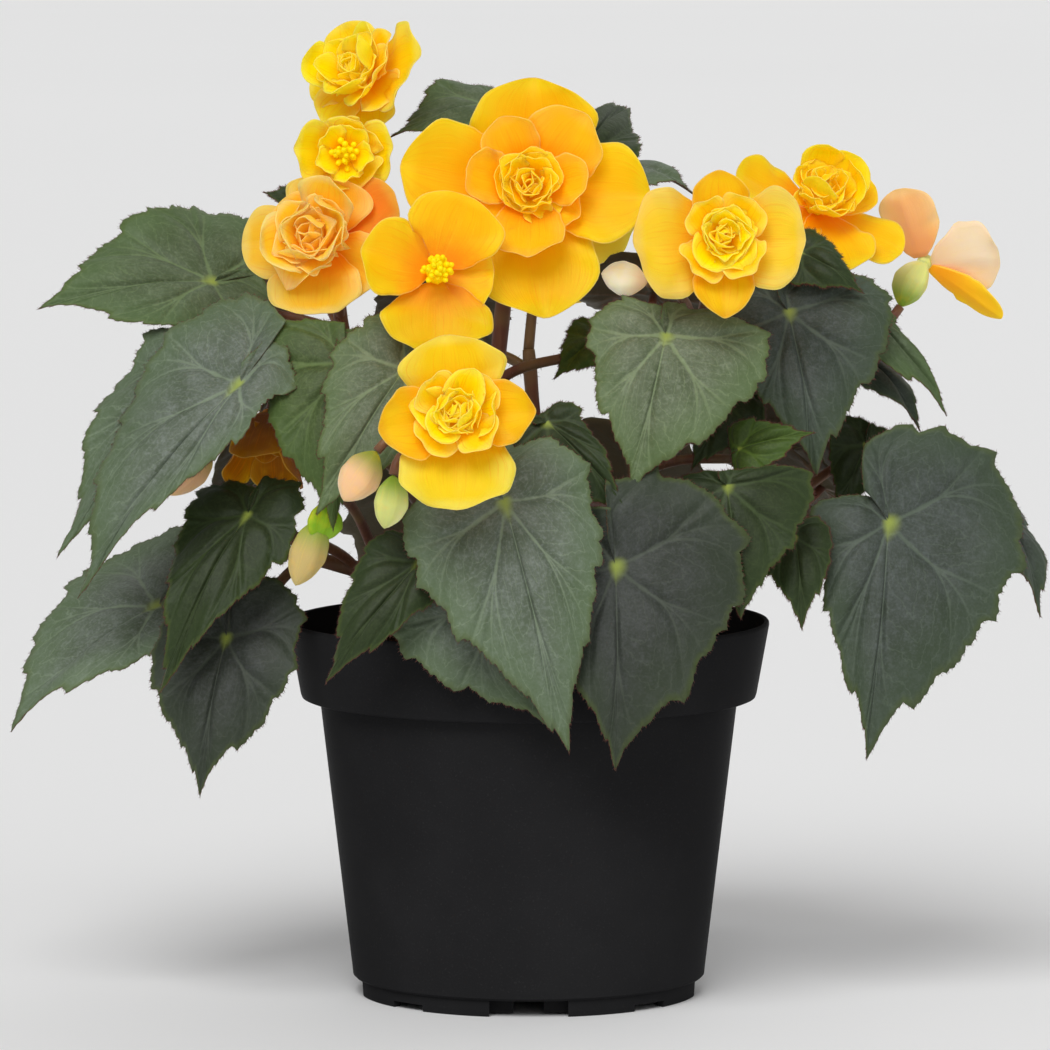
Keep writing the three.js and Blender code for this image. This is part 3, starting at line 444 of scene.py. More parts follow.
LEAVES = [
    blade("upper_left", MID, ("left", 0.8), (-84.8, 193, -8), (-132, 185.4, -22), (28, 17),
          (0.42, 0.3), (-0.2, -0.8, 0.6), cup=0.1),
    blade("left_front", GREY, ("left", 0.6), (-77.8, 165.6, -48), (-122.3, 107.9, -58),
          (28, 11), (0.31, 0.2), (-0.4, -0.8, 0.4), arch=0.07),
    blade("left_back", GREY, ("left", 0.68), (-88, 169, -34), (-127, 118, -44), (22, 12),
          (0.1, 0.2), (-0.4, -0.8, 0.4), arch=0.06, cup=0.1),
    blade("lower_left", GREY, ("far_left", 1), (-100.4, 105.4, -14), (-140.7, 71.5, -24),
          (33, 16), (0.5, 0.5), (-0.5, -0.6, 0.6), cup=0.1),
    blade("hanging_left", DULL, ("far_left", 0.85), (-81.8, 96.5, -38), (-89.1, 53, -44),
          (20, 20), (0.34, 0.4), (-0.2, -0.95, 0.1), arch=0.1, cup=0.1, wave=0.1),
    blade("mid_left", DEEP, ("far_left", 0.7), (-75.9, 130.1, -40), (-99.9, 81.6, -54),
          (16, 14), (0.15, 0.25), (-0.3, -0.9, 0.3), cup=0.14),
    blade("inner_left", OLIVE, ("left", 0.5), (-49.1, 171.3, -48), (-52.7, 125.5, -58),
          (24, 12), (0.25, 0.2), (-0.1, -0.95, 0.3), arch=0.06),
    blade("centre_left", PALE, ("front", 0.9), (-33.5, 169.4, -58), (-57.5, 130.1, -68),
          (18, 19), (0.3, 0.4), (-0.1, -0.95, 0.3), arch=0.06, cup=0.1),
    blade("rim_left", DEEP, ("front", 0.5), (-29.7, 117.1, -70), (-54.8, 84, -74), (14, 10),
          (0.1, 0.25), (-0.3, -0.9, 0.2), arch=0.07, cup=0.1),
    blade("front_long", GREY, ("front", 0.8), (-6.5, 133.6, -76), (11, 65, -83), (28, 23),
          (0.12, 0.2), (0, -0.97, 0.25), arch=0.05, cup=0.1),
    blade("front_upper", DEEP, ("front", 0.95), (5, 155, -58), (27, 131, -66), (24, 8),
          (0.25, 0.1), (0.1, -0.95, 0.3)),
    blade("front_right", DULL, ("far_right", 0.4), (23.5, 116, -69), (23.8, 60.2, -76),
          (20, 34), (0.3, 0.44), (0.1, -0.97, 0.2), arch=0.05, cup=0.08),
    blade("front_low", GREY, ("front", 0.4), (-9.2, 109.2, -67.5), (11, 70, -70), (28, 9),
          (0.3, 0.2), (-0.05, -0.97, 0.2), arch=0.04, cup=0.08),
    blade("centre_right", PALE, ("right", 0.55), (37, 178.6, -52), (27.8, 135.8, -64), (20, 28),
          (0.18, 0.22), (0.05, -0.93, 0.35), arch=0.07),
    blade("right_dark", SLATE, ("right", 0.75), (70, 185, -28), (77.8, 140.5, -39), (18, 27),
          (0.2, 0.22), (0.1, -0.93, 0.3), cup=0.1, wave=0.1),
    blade("right_arch", MID, ("right", 0.9), (82, 190, -10), (113, 157, -18), (15, 7),
          (0.2, 0.2), (0.35, -0.7, 0.65), arch=0.12, cup=0.1),
    blade("right_arch_low", SLATE, ("right", 0.7), (88, 174, -4), (106, 153, -10), (9, 9),
          (0.3, 0.3), (0.5, -0.6, 0.6), arch=0.1, cup=0.1),
    blade("right_top", DEEP, ("right", 1), (73, 201, -24), (90, 190, -28), (9, 7), (0.3, 0.3),
          (0.1, -0.9, 0.4), arch=0.12, cup=0.1),
    blade("right_mid", DEEP, ("far_right", 0.8), (91, 149, -8), (83, 131, -14), (10, 10),
          (0.3, 0.3), (0.2, -0.9, 0.3), cup=0.1),
    blade("right_big", SLATE, ("far_right", 0.9), (97.2, 127.9, -30), (91.3, 63.1, -44),
          (19, 37), (0.1, 0.4), (0.15, -0.95, 0.2), close=0.45, arch=0.05, cup=0.1),
    blade("far_right", SLATE, ("far_right", 1), (124, 134, -8), (139.55, 102.7, -12), (15, 13),
          (0.3, 0.3), (0.75, -0.5, 0.3), arch=0.1, cup=0.1),
    blade("rim_right", DEEP, ("far_right", 0.55), (53.5, 137.7, -55), (57.5, 101.6, -60),
          (15, 23), (0.12, 0.12), (0.1, -0.95, 0.25), arch=0.07),
    blade("inner_right", DEEP, ("right", 0.4), (53.7, 160.4, -30), (44, 142, -36), (10, 10),
          (0.3, 0.3), (0.1, -0.9, 0.4), arch=0.1),
    blade("young_right", FRESH, ("right", 0.45), (56.4, 147.7, -43), (77, 152, -46), (9, 7),
          (0.1, 0.1), (0.1, -0.9, 0.5), fold=0.2),
    blade("low_right", DEEP, ("far_right", 0.65), (72, 124, -40), (74, 98.9, -48), (10, 10),
          (0.2, 0.2), (0.1, -0.95, 0.2), cup=0.1),
    blade("top_left", MID, ("centre", 0.95), (-12, 241, -4), (-37, 230.6, -12), (14, 12),
          (0.2, 0.2), (-0.2, -0.6, 0.78), cup=0.05, wave=0.15),
    blade("top_back", DEEP, ("centre", 1), (14, 226, 10), (26, 240, 46), (15, 13), (0.3, 0.3),
          (0.1, -0.5, 0.85), cup=0.1),
    blade("top_right", GREY, ("right", 0.95), (22, 224, -2), (45, 216.8, -8), (13, 12),
          (0.2, 0.2), (0.2, -0.3, 0.93), arch=0.1, cup=0.1),
    blade("top_far_left", DEEP, ("left", 0.95), (-58, 213, 6), (-71, 217, 4), (6, 6),
          (0.2, 0.2), (-0.3, -0.7, 0.6), arch=0.1, cup=0.1),
    blade("heart", FRESH, ("centre", 0.6), (18, 178, -22), (7, 167, -28), (7, 8), (0.2, 0.2),
          (0, -0.9, 0.4), arch=0.1),
    blade("back_1", MID, ("back", 0.6), (-58, 160, 38), (-88, 114, 62), (24, 22), (0.35, 0.3),
          (-0.6, 0.65, 0.4)),
    blade("back_2", GREY, ("back", 0.4), (-24, 136, 68), (-32, 84, 98.3), (22, 26), (0.35, 0.3),
          (-0.2, 0.92, 0.35), arch=0.07),
    blade("back_3", MID, ("back", 0.5), (28, 138, 68), (40, 88, 97.5), (26, 21), (0.3, 0.38),
          (0.25, 0.92, 0.35), arch=0.07),
    blade("back_4", SLATE, ("right", 0.5), (62, 156, 40), (84, 112, 62), (24, 22), (0.35, 0.3),
          (0.6, 0.65, 0.4)),
    blade("back_5", MID, ("back", 0.9), (-22, 184, 52), (-30, 142, 92), (17, 22), (0.3, 0.35),
          (-0.1, 0.8, 0.6)),
    blade("back_6", GREY, ("right", 0.7), (34, 190, 44), (50, 150, 80), (22, 19), (0.3, 0.3),
          (0.3, 0.8, 0.6)),
    blade("back_7", MID, ("left", 0.7), (-58, 198, 26), (-88, 168, 46), (18, 17), (0.3, 0.3),
          (-0.4, 0.7, 0.6)),
    blade("back_8", DEEP, ("far_left", 0.8), (-80, 132, 26), (-106, 94, 48), (19, 18),
          (0.3, 0.3), (-0.8, 0.45, 0.4)),
    blade("side_right", GREY, ("far_right", 0.85), (80, 138, 20), (104, 98, 36), (18, 19),
          (0.3, 0.3), (0.8, 0.45, 0.4)),
    blade("back_low", SLATE, ("back", 0.25), (2, 118, 72), (0, 68, 84), (21, 21), (0.3, 0.3),
          (0, 0.98, 0.2), arch=0.05, cup=0.08),
    blade("top_inner", DEEP, ("centre", 0.9), (-8, 218, 24), (-22, 200, 62), (20, 22),
          (0.3, 0.3), (-0.1, 0.5, 0.85)),
]
HIDDEN_LEAVES = ("leaf_back", "leaf_side", "leaf_top_inner")
YOUNG_LEAVES = ("leaf_young_right", "leaf_heart")

# Petals are (clock, length, width, opening, point); a whorl is (count, length, width, opening, clock)
BLOOMS = [
    dict(name="bloom_top_left", tones=GOLD, heart=LEMON,
         root=("left", 1), centre=(-44.3, 247, -10), facing=(-0.45, -0.7, 0.5),
         outer=[(80, 22, 27, 68, 0.35), (118, 15, 15, 84), (160, 15, 17, 100),
                (215, 16, 16, 100, 0.3), (265, 17, 15, 88, 0.3), (330, 17, 17, 70, 0.2)],
         inner=[(52, 17, 13, 54, 0.2), (88, 16, 13, 58, 0.2)],
         whorl=(5, 13, 9, 52, 20)),
    dict(name="bloom_cup", tones=CUP, heart=LEMON,
         root=("left", 0.95), centre=(-49.1, 227.1, -26), facing=(-0.05, -0.92, 0.1),
         outer=[(85, 14, 17, 66), (150, 10.5, 16, 70), (210, 10.5, 16, 68),
                (275, 14.5, 17, 68), (330, 10.5, 16, 62), (30, 10.5, 16, 62)],
         whorl=(5, 9.5, 9, 60, 30), stamens=18),
    dict(name="bloom_left", tones=[APRICOT, APRICOT, APRICOT, VIVID, APRICOT, APRICOT],
         heart=FOLDED,
         root=("left", 0.85), centre=(-56.4, 203.6, -32), facing=(-0.25, -0.9, 0.3),
         outer=[(266, 21, 20, 82), (316, 15, 15, 80), (10, 18, 24, 84),
                (54, 24, 17, 88), (120, 20, 20, 88), (176, 21, 26, 90)],
         whorl=(5, 14, 12, 58, 20)),
    dict(name="bloom_single", tones=ORANGE, heart=LEMON,
         root=("centre", 0.8), centre=(-24.8, 195.1, -60), facing=(0.05, -0.94, 0.3),
         outer=[(86, 15, 21, 90, 0.2), (24, 22, 26, 80, 0.2), (180, 21.5, 30, 86, 0.3),
                (286, 21, 22, 80, 0.2)], stamens=30),
    dict(name="bloom_centre", tones=ORANGE, heart=HEART, middle=PEACH,
         root=("centre", 1), centre=(0.3, 217.6, -42), facing=(0, -0.96, 0.26),
         outer=[(3, 29.5, 34, 80, 0.3), (95, 32, 28, 86, 0.2), (174, 35, 33, 86, 0.3),
                (278, 35, 29, 84, 0.2)],
         inner=[(40, 25, 22, 68), (84, 18, 14, 64), (124, 17, 12, 72, 0.7),
                (182, 22.5, 20, 70), (230, 16, 14, 66), (280, 20, 15, 66),
                (335, 21, 16, 66)],
         whorl=(5, 12, 9, 42, 20)),
    dict(name="bloom_right", tones=[BUTTER, BUTTER, AMBER, AMBER], heart=LEMON, middle=GOLD,
         root=("right", 0.66), centre=(52.1, 204.1, -54), facing=(0.05, -0.97, 0.2),
         outer=[(265, 23.5, 31, 84, 0.25), (92, 22, 28, 84, 0.25), (358, 18.5, 16, 84, 0.6),
                (180, 21.5, 17, 86, 0.7)],
         inner=[(42, 14, 14, 62), (138, 14, 14, 64), (222, 14, 14, 64),
                (318, 13, 13, 62)],
         whorl=(4, 10, 8, 40, 0)),
    dict(name="bloom_right_back", tones=ORANGE, heart=HEART,
         root=("right", 1), centre=(77.2, 213, -5), facing=(0.3, -0.65, 0.7),
         outer=[(300, 24, 18, 84), (78, 18, 16, 80, 0.2), (134, 26.5, 18, 88),
                (178, 24, 20, 90), (235, 15, 15, 84)],
         whorl=(5, 13, 10, 54, 10)),
    dict(name="bloom_lower", tones=[GOLD, AMBER, GOLD, AMBER], heart=LEMON, middle=GOLD,
         root=("front", 1), centre=(-19.4, 156.6, -90), facing=(0, -0.97, 0.22),
         outer=[(355, 21, 28, 82, 0.35), (88, 21, 18, 84, 0.7), (180, 25, 32, 84, 0.4),
                (258, 21, 20, 84, 0.7)],
         inner=[(45, 14, 13, 62), (135, 14, 13, 64), (222, 14, 13, 64),
                (315, 13.5, 13, 62)],
         whorl=(4, 10, 8, 40, 10)),
    # Its petals and heart take the dark amber, painted shade, as it hangs under the leaves
    dict(name="bloom_shaded", tones=SHADED_AMBER, heart=SHADED_AMBER,
         root=("left", 0.45), centre=(-70, 155, -25), facing=(-0.1, -0.35, -0.93),
         outer=[(0, 20, 15, 38), (90, 22, 17, 36), (180, 22, 16, 36),
                (270, 21, 17, 34)],
         whorl=(3, 9, 6, 30, 45)),
    dict(name="bloom_back", tones=GOLD, heart=HEART,
         root=("back", 1), centre=(4, 206, 52), facing=(0.1, 0.9, 0.42),
         outer=[(0, 24, 27, 82), (92, 25, 23, 84), (180, 26, 28, 86),
                (270, 25, 24, 84)],
         whorl=(5, 15, 13, 58, 10)),
]

SEED_BLOOM = dict(
    name="bloom_far_right", root=("right", 0.9), ovary=[(100, 186, 3), (106.5, 198.5, 7)],
    centre=(106.5, 198, 8), facing=(0.35, 0.72, 0.6),
    outer=[(16, 21.5, 18, 62, 0.1), (264, 20.5, 23, 66, 0), (226, 26, 10, 88, 0.4)],
    tones=(SALMON, SHELL, ORANGE),
)

# A bud from base to tip: share along it, then share of its half width
POD = [(0, 0), (0.06, 0.34), (0.28, 0.86), (0.55, 1), (0.8, 0.72), (0.95, 0.3), (1, 0)]

BUDS = [
    dict(name="bud_centre", tones=CREAM, root=("right", 0.7),
         base=(32, 192.5, -38), tip=(19.5, 195, -40), width=9.4, flat=0.5),
    dict(name="bud_left", tones=BLUSH, root=("far_left", 0.9),
         base=(-86, 150, -8), tip=(-97, 135, -10), width=11, flat=0.5),
    dict(name="bud_lower", tones=BLUSH, root=("front", 0.9), lead=(0, -1, 0.1),
         base=(-41, 147, -75), tip=(-50, 133.5, -77), width=11, flat=0.6),
    dict(name="bud_ovary", tones=OVARY, root=("front", 0.75),
         base=(-36.5, 140.6, -81), tip=(-39, 126, -82), width=8.5, flat=0.9, wings=0.25),
    dict(name="bud_low_left", tones=LIME, root=("far_left", 0.6),
         base=(-56, 129, -52), tip=(-63, 110.5, -53), width=10, flat=0.6,
         cap=[(-54.5, 133.5, -51.5), (-57.5, 122.5, -52)]),
]

STEMS = dict(
    left=[(0, 0, 88), (-14, -3, 112), (-34, -6, 142), (-48, -4, 172), (-52, -4, 196)],
    centre=[(0, 0, 88), (-3, 1, 116), (-9, 3, 150), (-7, 4, 185), (-4, 2, 205)],
    right=[(0, 0, 88), (14, 1, 114), (34, 0, 146), (48, 0, 174), (56, 0, 192)],
    far_left=[(0, 0, 88), (-20, -2, 106), (-44, -6, 115), (-66, -4, 120)],
    far_right=[(0, 0, 88), (22, -1, 108), (48, -3, 118), (74, -6, 128)],
    front=[(0, 0, 88), (-2, -14, 110), (-8, -32, 126), (-12, -44, 142)],
    back=[(0, 0, 88), (2, 14, 112), (2, 28, 142), (0, 34, 172)],
)


# Leaves

def blade_edge(leaf, side, s):
    """The edge of one side of a blade at shares s from the tip to the notch"""
    outline = HALF_OUTLINE
    if side == 1:
        over = leaf["close"]
        outline = [*HALF_OUTLINE[:-1], (-0.95, -0.6 * over), (-0.62, -over), (-0.3, -0.9 * over)]
    a, w = through(outline, s).T
    return np.where(a < 0, a * leaf["lobe"][side], a), (-w if side == 0 else w)


def even_edge(leaf, side, steps, length):
    """The edge of one side at even steps, with its length from the tip in millimetres"""
    s = np.linspace(0, 1, 400)
    a, w = blade_edge(leaf, side, s)
    x, y = a * length, w * leaf["half"][side]
    run = np.concatenate([[0], np.cumsum(np.hypot(np.diff(x), np.diff(y)))])
    wanted = np.linspace(0, run[-1], steps)
    return np.interp(wanted, run, a), np.interp(wanted, run, w), wanted


def vein_distance(phase, reach, spacing):
    """Millimetres to the nearest main vein or fork"""
    off = np.abs(phase - np.round(phase))
    wide = FORK_SPREAD * np.clip((reach - FORK_START) / (1 - FORK_START), 0, 1)
    narrow = TWIG_SPREAD * np.clip((reach - TWIG_START) / (1 - TWIG_START), 0, 1)
    return np.minimum(off, np.minimum(np.abs(off - wide), np.abs(off - narrow))) * spacing


def blade_lift(leaf, length, a, w):
    """How far the blade stands off its chord plane, as in the solids"""
    half = np.where(w < 0, leaf["half"][0], leaf["half"][1])
    rise = 4 * leaf["arch"] * length * np.where(a < 0, a / (1 - 3 * np.minimum(a, 0)), a * (1 - a))
    reach = np.minimum(a * a + w * w, 1)
    ripple = leaf["wave"] * half * reach * np.sin(5 * np.arctan2(w, a) + leaf["base"][0])
    droop = leaf["cup"] * half * w * w
    return rise - droop + leaf["fold"] * half * np.abs(w) + ripple


def tooth(place, peak):
    """Teeth of height 1 that lean towards the tip of the blade"""
    return np.interp(np.mod(place, 1), (0, peak, 1), (0, 1, 0)) ** 0.8


def blade_teeth(run, share, turn, size, shift):
    """How far the edge of a blade stands out: large round teeth with smaller ones on them, none at
    the tip or in the notch"""
    place = run / (LOBE_PITCH * size) + shift[0] * (turn + 1) + 0.25 * np.sin(run / 9)
    sizes = 0.6 + 0.4 * np.sin(np.floor(place) * 2.4 + shift[1] * 6)
    teeth = (sizes * LOBE_HEIGHT * tooth(place, 0.22)
             + TOOTH_HEIGHT * tooth(run / TOOTH_PITCH + shift[2], 0.3))
    fade = np.clip(share * 9, 0, 1) * np.clip((1 - share) * 6, 0, 1)
    sway = EDGE_SWAY * np.sin(run / 3.6 + shift[3] * 6) * np.sin(run / 7.7 + shift[0] * 6)
    return size * fade * (teeth + sway - EDGE_INSET)


def leaf_piece(leaf, number, material):
    rng = np.random.default_rng(LEAF_SEED + number)
    base, along, face, side, length = line_frame(leaf["base"], leaf["tip"], leaf["face"])
    hidden = leaf["name"].startswith(HIDDEN_LEAVES)
    steps, rings = (HIDDEN_STEPS, HIDDEN_RINGS) if hidden else (BLADE_STEPS, BLADE_RINGS)
    left, right = [even_edge(leaf, i, steps, length) for i in (0, 1)]
    edge_a, edge_w, run = [np.concatenate([one[::-1], two[1:]]) for one, two in zip(left, right)]
    total = np.concatenate([np.full(steps, left[2][-1]), np.full(steps - 1, right[2][-1])])
    share = run / total
    turn = np.where(np.arange(2 * steps - 1) < steps - 1, -1.0, 1.0)
    spans = VEIN_SPANS if length > SHORT_BLADE else VEIN_SPANS - 1
    phase = share * spans

    size = min(1.0, length / FULL_BLADE)
    shift = rng.uniform(0, 1, 4)
    out = blade_teeth(run, share, turn, size, shift)
    radius = np.hypot(edge_a * length, edge_w * np.where(edge_w < 0, *leaf["half"]))
    growth = out / np.maximum(radius, 6)

    # The grid of the blade, from its base to its edge, with the veins' places on it
    reach = np.linspace(0, 1, rings + 1)[:, None] ** 0.85
    scale = reach * (1 + growth * reach ** 5)
    a = edge_a * scale
    w = edge_w * scale
    half = np.where(w < 0, leaf["half"][0], leaf["half"][1])
    spacing = reach * (total / spans)
    bend = 0.12 * np.sin(np.pi * reach) * np.minimum(phase, 1)
    veins = phase - bend
    distance = vein_distance(veins, reach, spacing)

    # Puckers between the veins, waves, and the right lobe laid over the left one
    swell = np.exp(-((distance / 1.5) ** 2))
    puff = PUFF * (1 - swell) * ease(0.05, 0.35, reach) * (1 - 0.6 * ease(0.75, 1, reach))
    curl = CURL * size * reach ** 4 * np.sin(2 * np.pi * 0.75 * phase + shift[3] * 6)
    roll = ROLL * size * np.sin(a * 7 + shift[1] * 6) * np.cos(w * 5 + shift[2] * 6)
    roll = roll * ease(0, 0.3, reach)
    crossing = CROSSING * np.clip(-w * turn, 0, 1)
    lift = blade_lift(leaf, length, a, w) + puff + curl + roll + crossing - BLADE / 2
    front = (base + (a * length)[..., None] * along + (w * half)[..., None] * side
             + lift[..., None] * face)
    thick = BLADE * (0.85 - 0.5 * reach ** 3) + 0.35 * swell * (1 - reach)
    back = front - thick[..., None] * face

    shape = Shape(("reach", "veins", "spacing", "side"), ("tone",))
    sheet(shape, front, back, {"reach": reach, "veins": veins, "spacing": spacing},
          tone=leaf["tone"] * rng.uniform(0.92, 1.08))
    hairs = HIDDEN_HAIRS if hidden else EDGE_HAIRS
    margin_hairs(shape, front[-1], back[-1], face, base, rng, hairs)
    slot = "young_leaf" if leaf["name"] in YOUNG_LEAVES else "leaf"
    shape.piece(leaf["name"], material, slot)


def margin_hairs(shape, front, back, face, base, rng, each):
    """Short reddish hairs that stand out from the edge of a blade"""
    middle = (front + back) / 2
    for i in range(2, len(middle) - 2):
        for _ in range(each):
            root = middle[i] + (middle[i + 1] - middle[i]) * rng.uniform(0, 1)
            out = across(root - base, face) + rng.normal(0, 0.35, 3)
            spike(shape, root - 0.2 * unit(out), unit(out), rng.uniform(0.5, 1.3), 0.09, reach=1.2)


def spike(shape, root, axis, length, radius, **values):
    """A three-sided hair"""
    side = across((0.31, 0.52, 0.79), axis)
    other = np.cross(axis, side)
    corners = [root + radius * side, root + radius * (-0.5 * side + 0.87 * other),
               root + radius * (-0.5 * side - 0.87 * other), root + length * axis]
    shape.add(corners, [(0, 1, 3), (1, 2, 3), (2, 0, 3), (0, 2, 1)], **values)


def leaf_material():
    paint = Paint("leaf_blade", Roughness=0.55, Sheen_Weight=0.06, Sheen_Roughness=0.5,
                  Specular_IOR_Level=0.25)
    place = paint.place()
    reach = paint.layer("reach")
    off = paint.math("PINGPONG", paint.layer("veins"), 0.5)
    wide = paint.between(reach, FORK_START, 1.0, 0.0, FORK_SPREAD, smooth=False)
    fork = paint.math("ABSOLUTE", paint.math("SUBTRACT", off, wide))
    distance = paint.times(paint.math("MINIMUM", off, fork), paint.layer("spacing"))
    wander = paint.between(paint.noise(place, 260), 0.2, 0.8, -0.45, 0.45, smooth=False)
    distance = paint.math("ADD", distance, wander)
    width = paint.between(reach, 0.0, 1.0, 1.0, 0.45, smooth=False)
    vein = paint.between(paint.math("DIVIDE", distance, width), 0.1, 0.95, 1.0, 0.0)
    vein = paint.times(vein, paint.between(reach, 0.35, 0.95, 1.0, 0.25, smooth=False))

    slant = paint.math("SUBTRACT", paint.times(reach, 7.0), paint.times(off, 6.0))
    branch = paint.math("PINGPONG", paint.math("ADD", slant, wander), 0.5)
    branch = paint.between(branch, 0.08, 0.0, 0.0, 0.3)

    tone = paint.layer("tone", "Color")
    grain = paint.noise(place, 1400, 2.0)
    # Pale frost of the hairs, partly a painted sheen: the lighter coat from this noise also stands in
    # for the grey highlights of the leaves
    hair_frost_and_sheen = paint.noise(place, 420, 4.0, 0.65)
    dark, light, green, bright = [
        paint.mix(1.0, tone, tint, "MULTIPLY")
        for tint in ((0.62, 0.68, 0.54), (1.9, 1.8, 2.1), (0.82, 1.06, 0.6), (1.9, 2.0, 1.7))]
    colour = paint.coats(
        tone,
        (paint.between(paint.noise(place, 90), 0.35, 0.7), dark),
        (paint.times(paint.between(grain, 0.45, 0.72), 0.28), light),
        (paint.between(hair_frost_and_sheen, 0.5, 0.7, 0.0, 0.34), light),
        (paint.between(hair_frost_and_sheen, 0.48, 0.3, 0.0, 0.5), dark),
        (paint.times(paint.between(grain, 0.5, 0.3), 0.4), dark),
        (paint.between(reach, 0.45, 1.0, 0.0, 0.6), green),
        (paint.math("MAXIMUM", paint.times(vein, 0.62), branch), bright),
        (paint.between(reach, 0.93, 1.0, 0.0, 0.4), linear(92, 106, 48)),
        (paint.between(reach, 0.12, 0.0, 0.0, 0.85), linear(150, 164, 66)),
    )
    under = paint.mix(paint.times(vein, 0.6), linear(92, 84, 62), linear(128, 92, 66))
    hairs = paint.between(reach, 1.0, 1.1)
    colour = paint.coats(colour, (paint.layer("side"), under), (hairs, linear(104, 58, 44)))
    relief = paint.bump(grain, 0.00012, 0.6)
    cells = paint.node("ShaderNodeTexVoronoi", {"Vector": place, "Scale": 380.0},
                       "Distance", feature="DISTANCE_TO_EDGE")
    relief = paint.bump(cells, 0.0004, 0.35, relief)
    return paint.set(Base_Color=colour, Normal=relief)


# Blooms

# Values of the smooth grains, which have no margin and no streaks
PLAIN = {"margin": 5.0, "along": 5.0}


def petal_width(s, point):
    """The half width of a petal at shares s of its length, as a share of its widest"""
    rising = 0.3 + 0.7 * np.sin(np.pi / 2 * np.clip(s / 0.68, 0, 1)) ** 0.9
    rounded = np.where(s < 0.68, rising, np.sqrt(np.clip(1 - ((s - 0.68) / 0.32) ** 2, 0, 1)))
    early = 0.3 + 0.68 * np.sin(np.pi / 2 * np.clip(s / 0.5, 0, 1))
    pointed = np.where(s < 0.5, early, 0.98 * (1 - np.clip((s - 0.5) / 0.5, 0, 1) ** 2))
    return rounded * (1 - point) + pointed * point


def petal(shape, frame, rng, forward, clock, length, width, opening, curl, cup, point, ruffle,
          cells, shades, waves=(4, 9), offset=ROOT_OFFSET):
    """A curved sheet that leaves a bloom's axis in the direction clock, at the angle opening"""
    centre, axis = frame[:2]
    origin = centre + axis * forward
    outward = towards(frame, clock)
    rows, columns = cells
    t = np.linspace(0, 1, rows)[:, None]
    s = 1 - (1 - t) ** 1.9
    v = np.linspace(-1, 1, columns)
    side = np.cross(axis, outward)
    start, turn = np.radians(opening), np.radians(curl)
    stretch = (length - offset) / turn
    angle = start + turn * s
    spine = (origin + outward * offset
             + (stretch * (np.cos(start) - np.cos(angle)))[..., None] * outward
             + (stretch * (np.sin(angle) - np.sin(start)))[..., None] * axis)
    facing = -np.cos(angle)[..., None] * outward + np.sin(angle)[..., None] * axis

    phases = rng.uniform(0, 6.28, 4)
    share = petal_width(s, point)
    u = v * share
    around = np.arctan2(u * width / 2, (s - 0.35) * length)
    margin = 1 + 0.03 * np.sin(5 * around + phases[0]) + 0.02 * np.sin(11 * around + phases[1])
    half = np.minimum((width / 2) * share * margin, ROOT_HALF + 3 * width * s)
    out = np.maximum(np.abs(v) * ease(0.1, 0.5, s), ease(0.7, 1, s))
    wave = np.sin(waves[0] * around + phases[2]) + 0.6 * np.sin(waves[1] * around + phases[3])
    crease = 0.04 * width * np.exp(-((u / 0.2) ** 2)) * s
    lift = cup * width / 2 * u * u + ruffle * width * wave * out ** 2 - crease
    front = spine + (v * half)[..., None] * side + lift[..., None] * facing
    thick = 0.25 + 0.35 * (1 - out)
    back = front - thick[..., None] * facing

    colour = tinted(shades, ease(0.05, 0.75, s + 0.12 * np.abs(u)), ease(0.45, 1, out) * 0.75)
    inset = np.minimum((1 - np.abs(v)) * half, (1 - s) * length)
    fine = {"margin": (3 if cells is SMALL_PETAL else 1) * inset,
            "across": v * width / 2 + 40 * rng.uniform(), "along": s * length}
    sheet(shape, front, back, fine, shade=np.tile(colour, (2, 1)), under=shades[3])


def tinted(shades, flush, edge):
    """Colours by point, from root to body by the flush and on to the rim by the edge"""
    root, body, rim = shades[:3]
    colour = root + (body - root) * flush[..., None]
    return (colour + (rim - colour) * edge[..., None]).reshape(-1, 3)


def bloom_frame(bloom):
    """A bloom's centre, its axis, and the directions up and right across the axis"""
    centre = seen(bloom["centre"])
    axis = unit(bloom["facing"])
    up = across((0, 0, 1), axis)
    right = np.cross(up, axis)
    return centre, axis, up, right


def towards(frame, clock):
    """The direction across a bloom's axis at a clock angle in degrees"""
    turn = np.radians(clock)
    return frame[2] * np.cos(turn) + frame[3] * np.sin(turn)


def blob(shape, centre, axis, length, radius, **values):
    """A small smooth grain"""
    rows, columns = 6, 7
    side = across((0.3, 0.5, 0.8), axis)
    other = np.cross(axis, side)
    turn = round_turn(columns)[:, None]
    s = np.linspace(0, np.pi, rows)[:, None, None]
    points = (centre - axis * length / 2 * np.cos(s)
              + radius * np.sin(s) * (np.cos(turn) * side + np.sin(turn) * other))
    shape.add(points, grid(rows, columns, closed=True), **values)


def petal_shape():
    return Shape(("margin", "across", "along", "side"), ("shade", "under"))


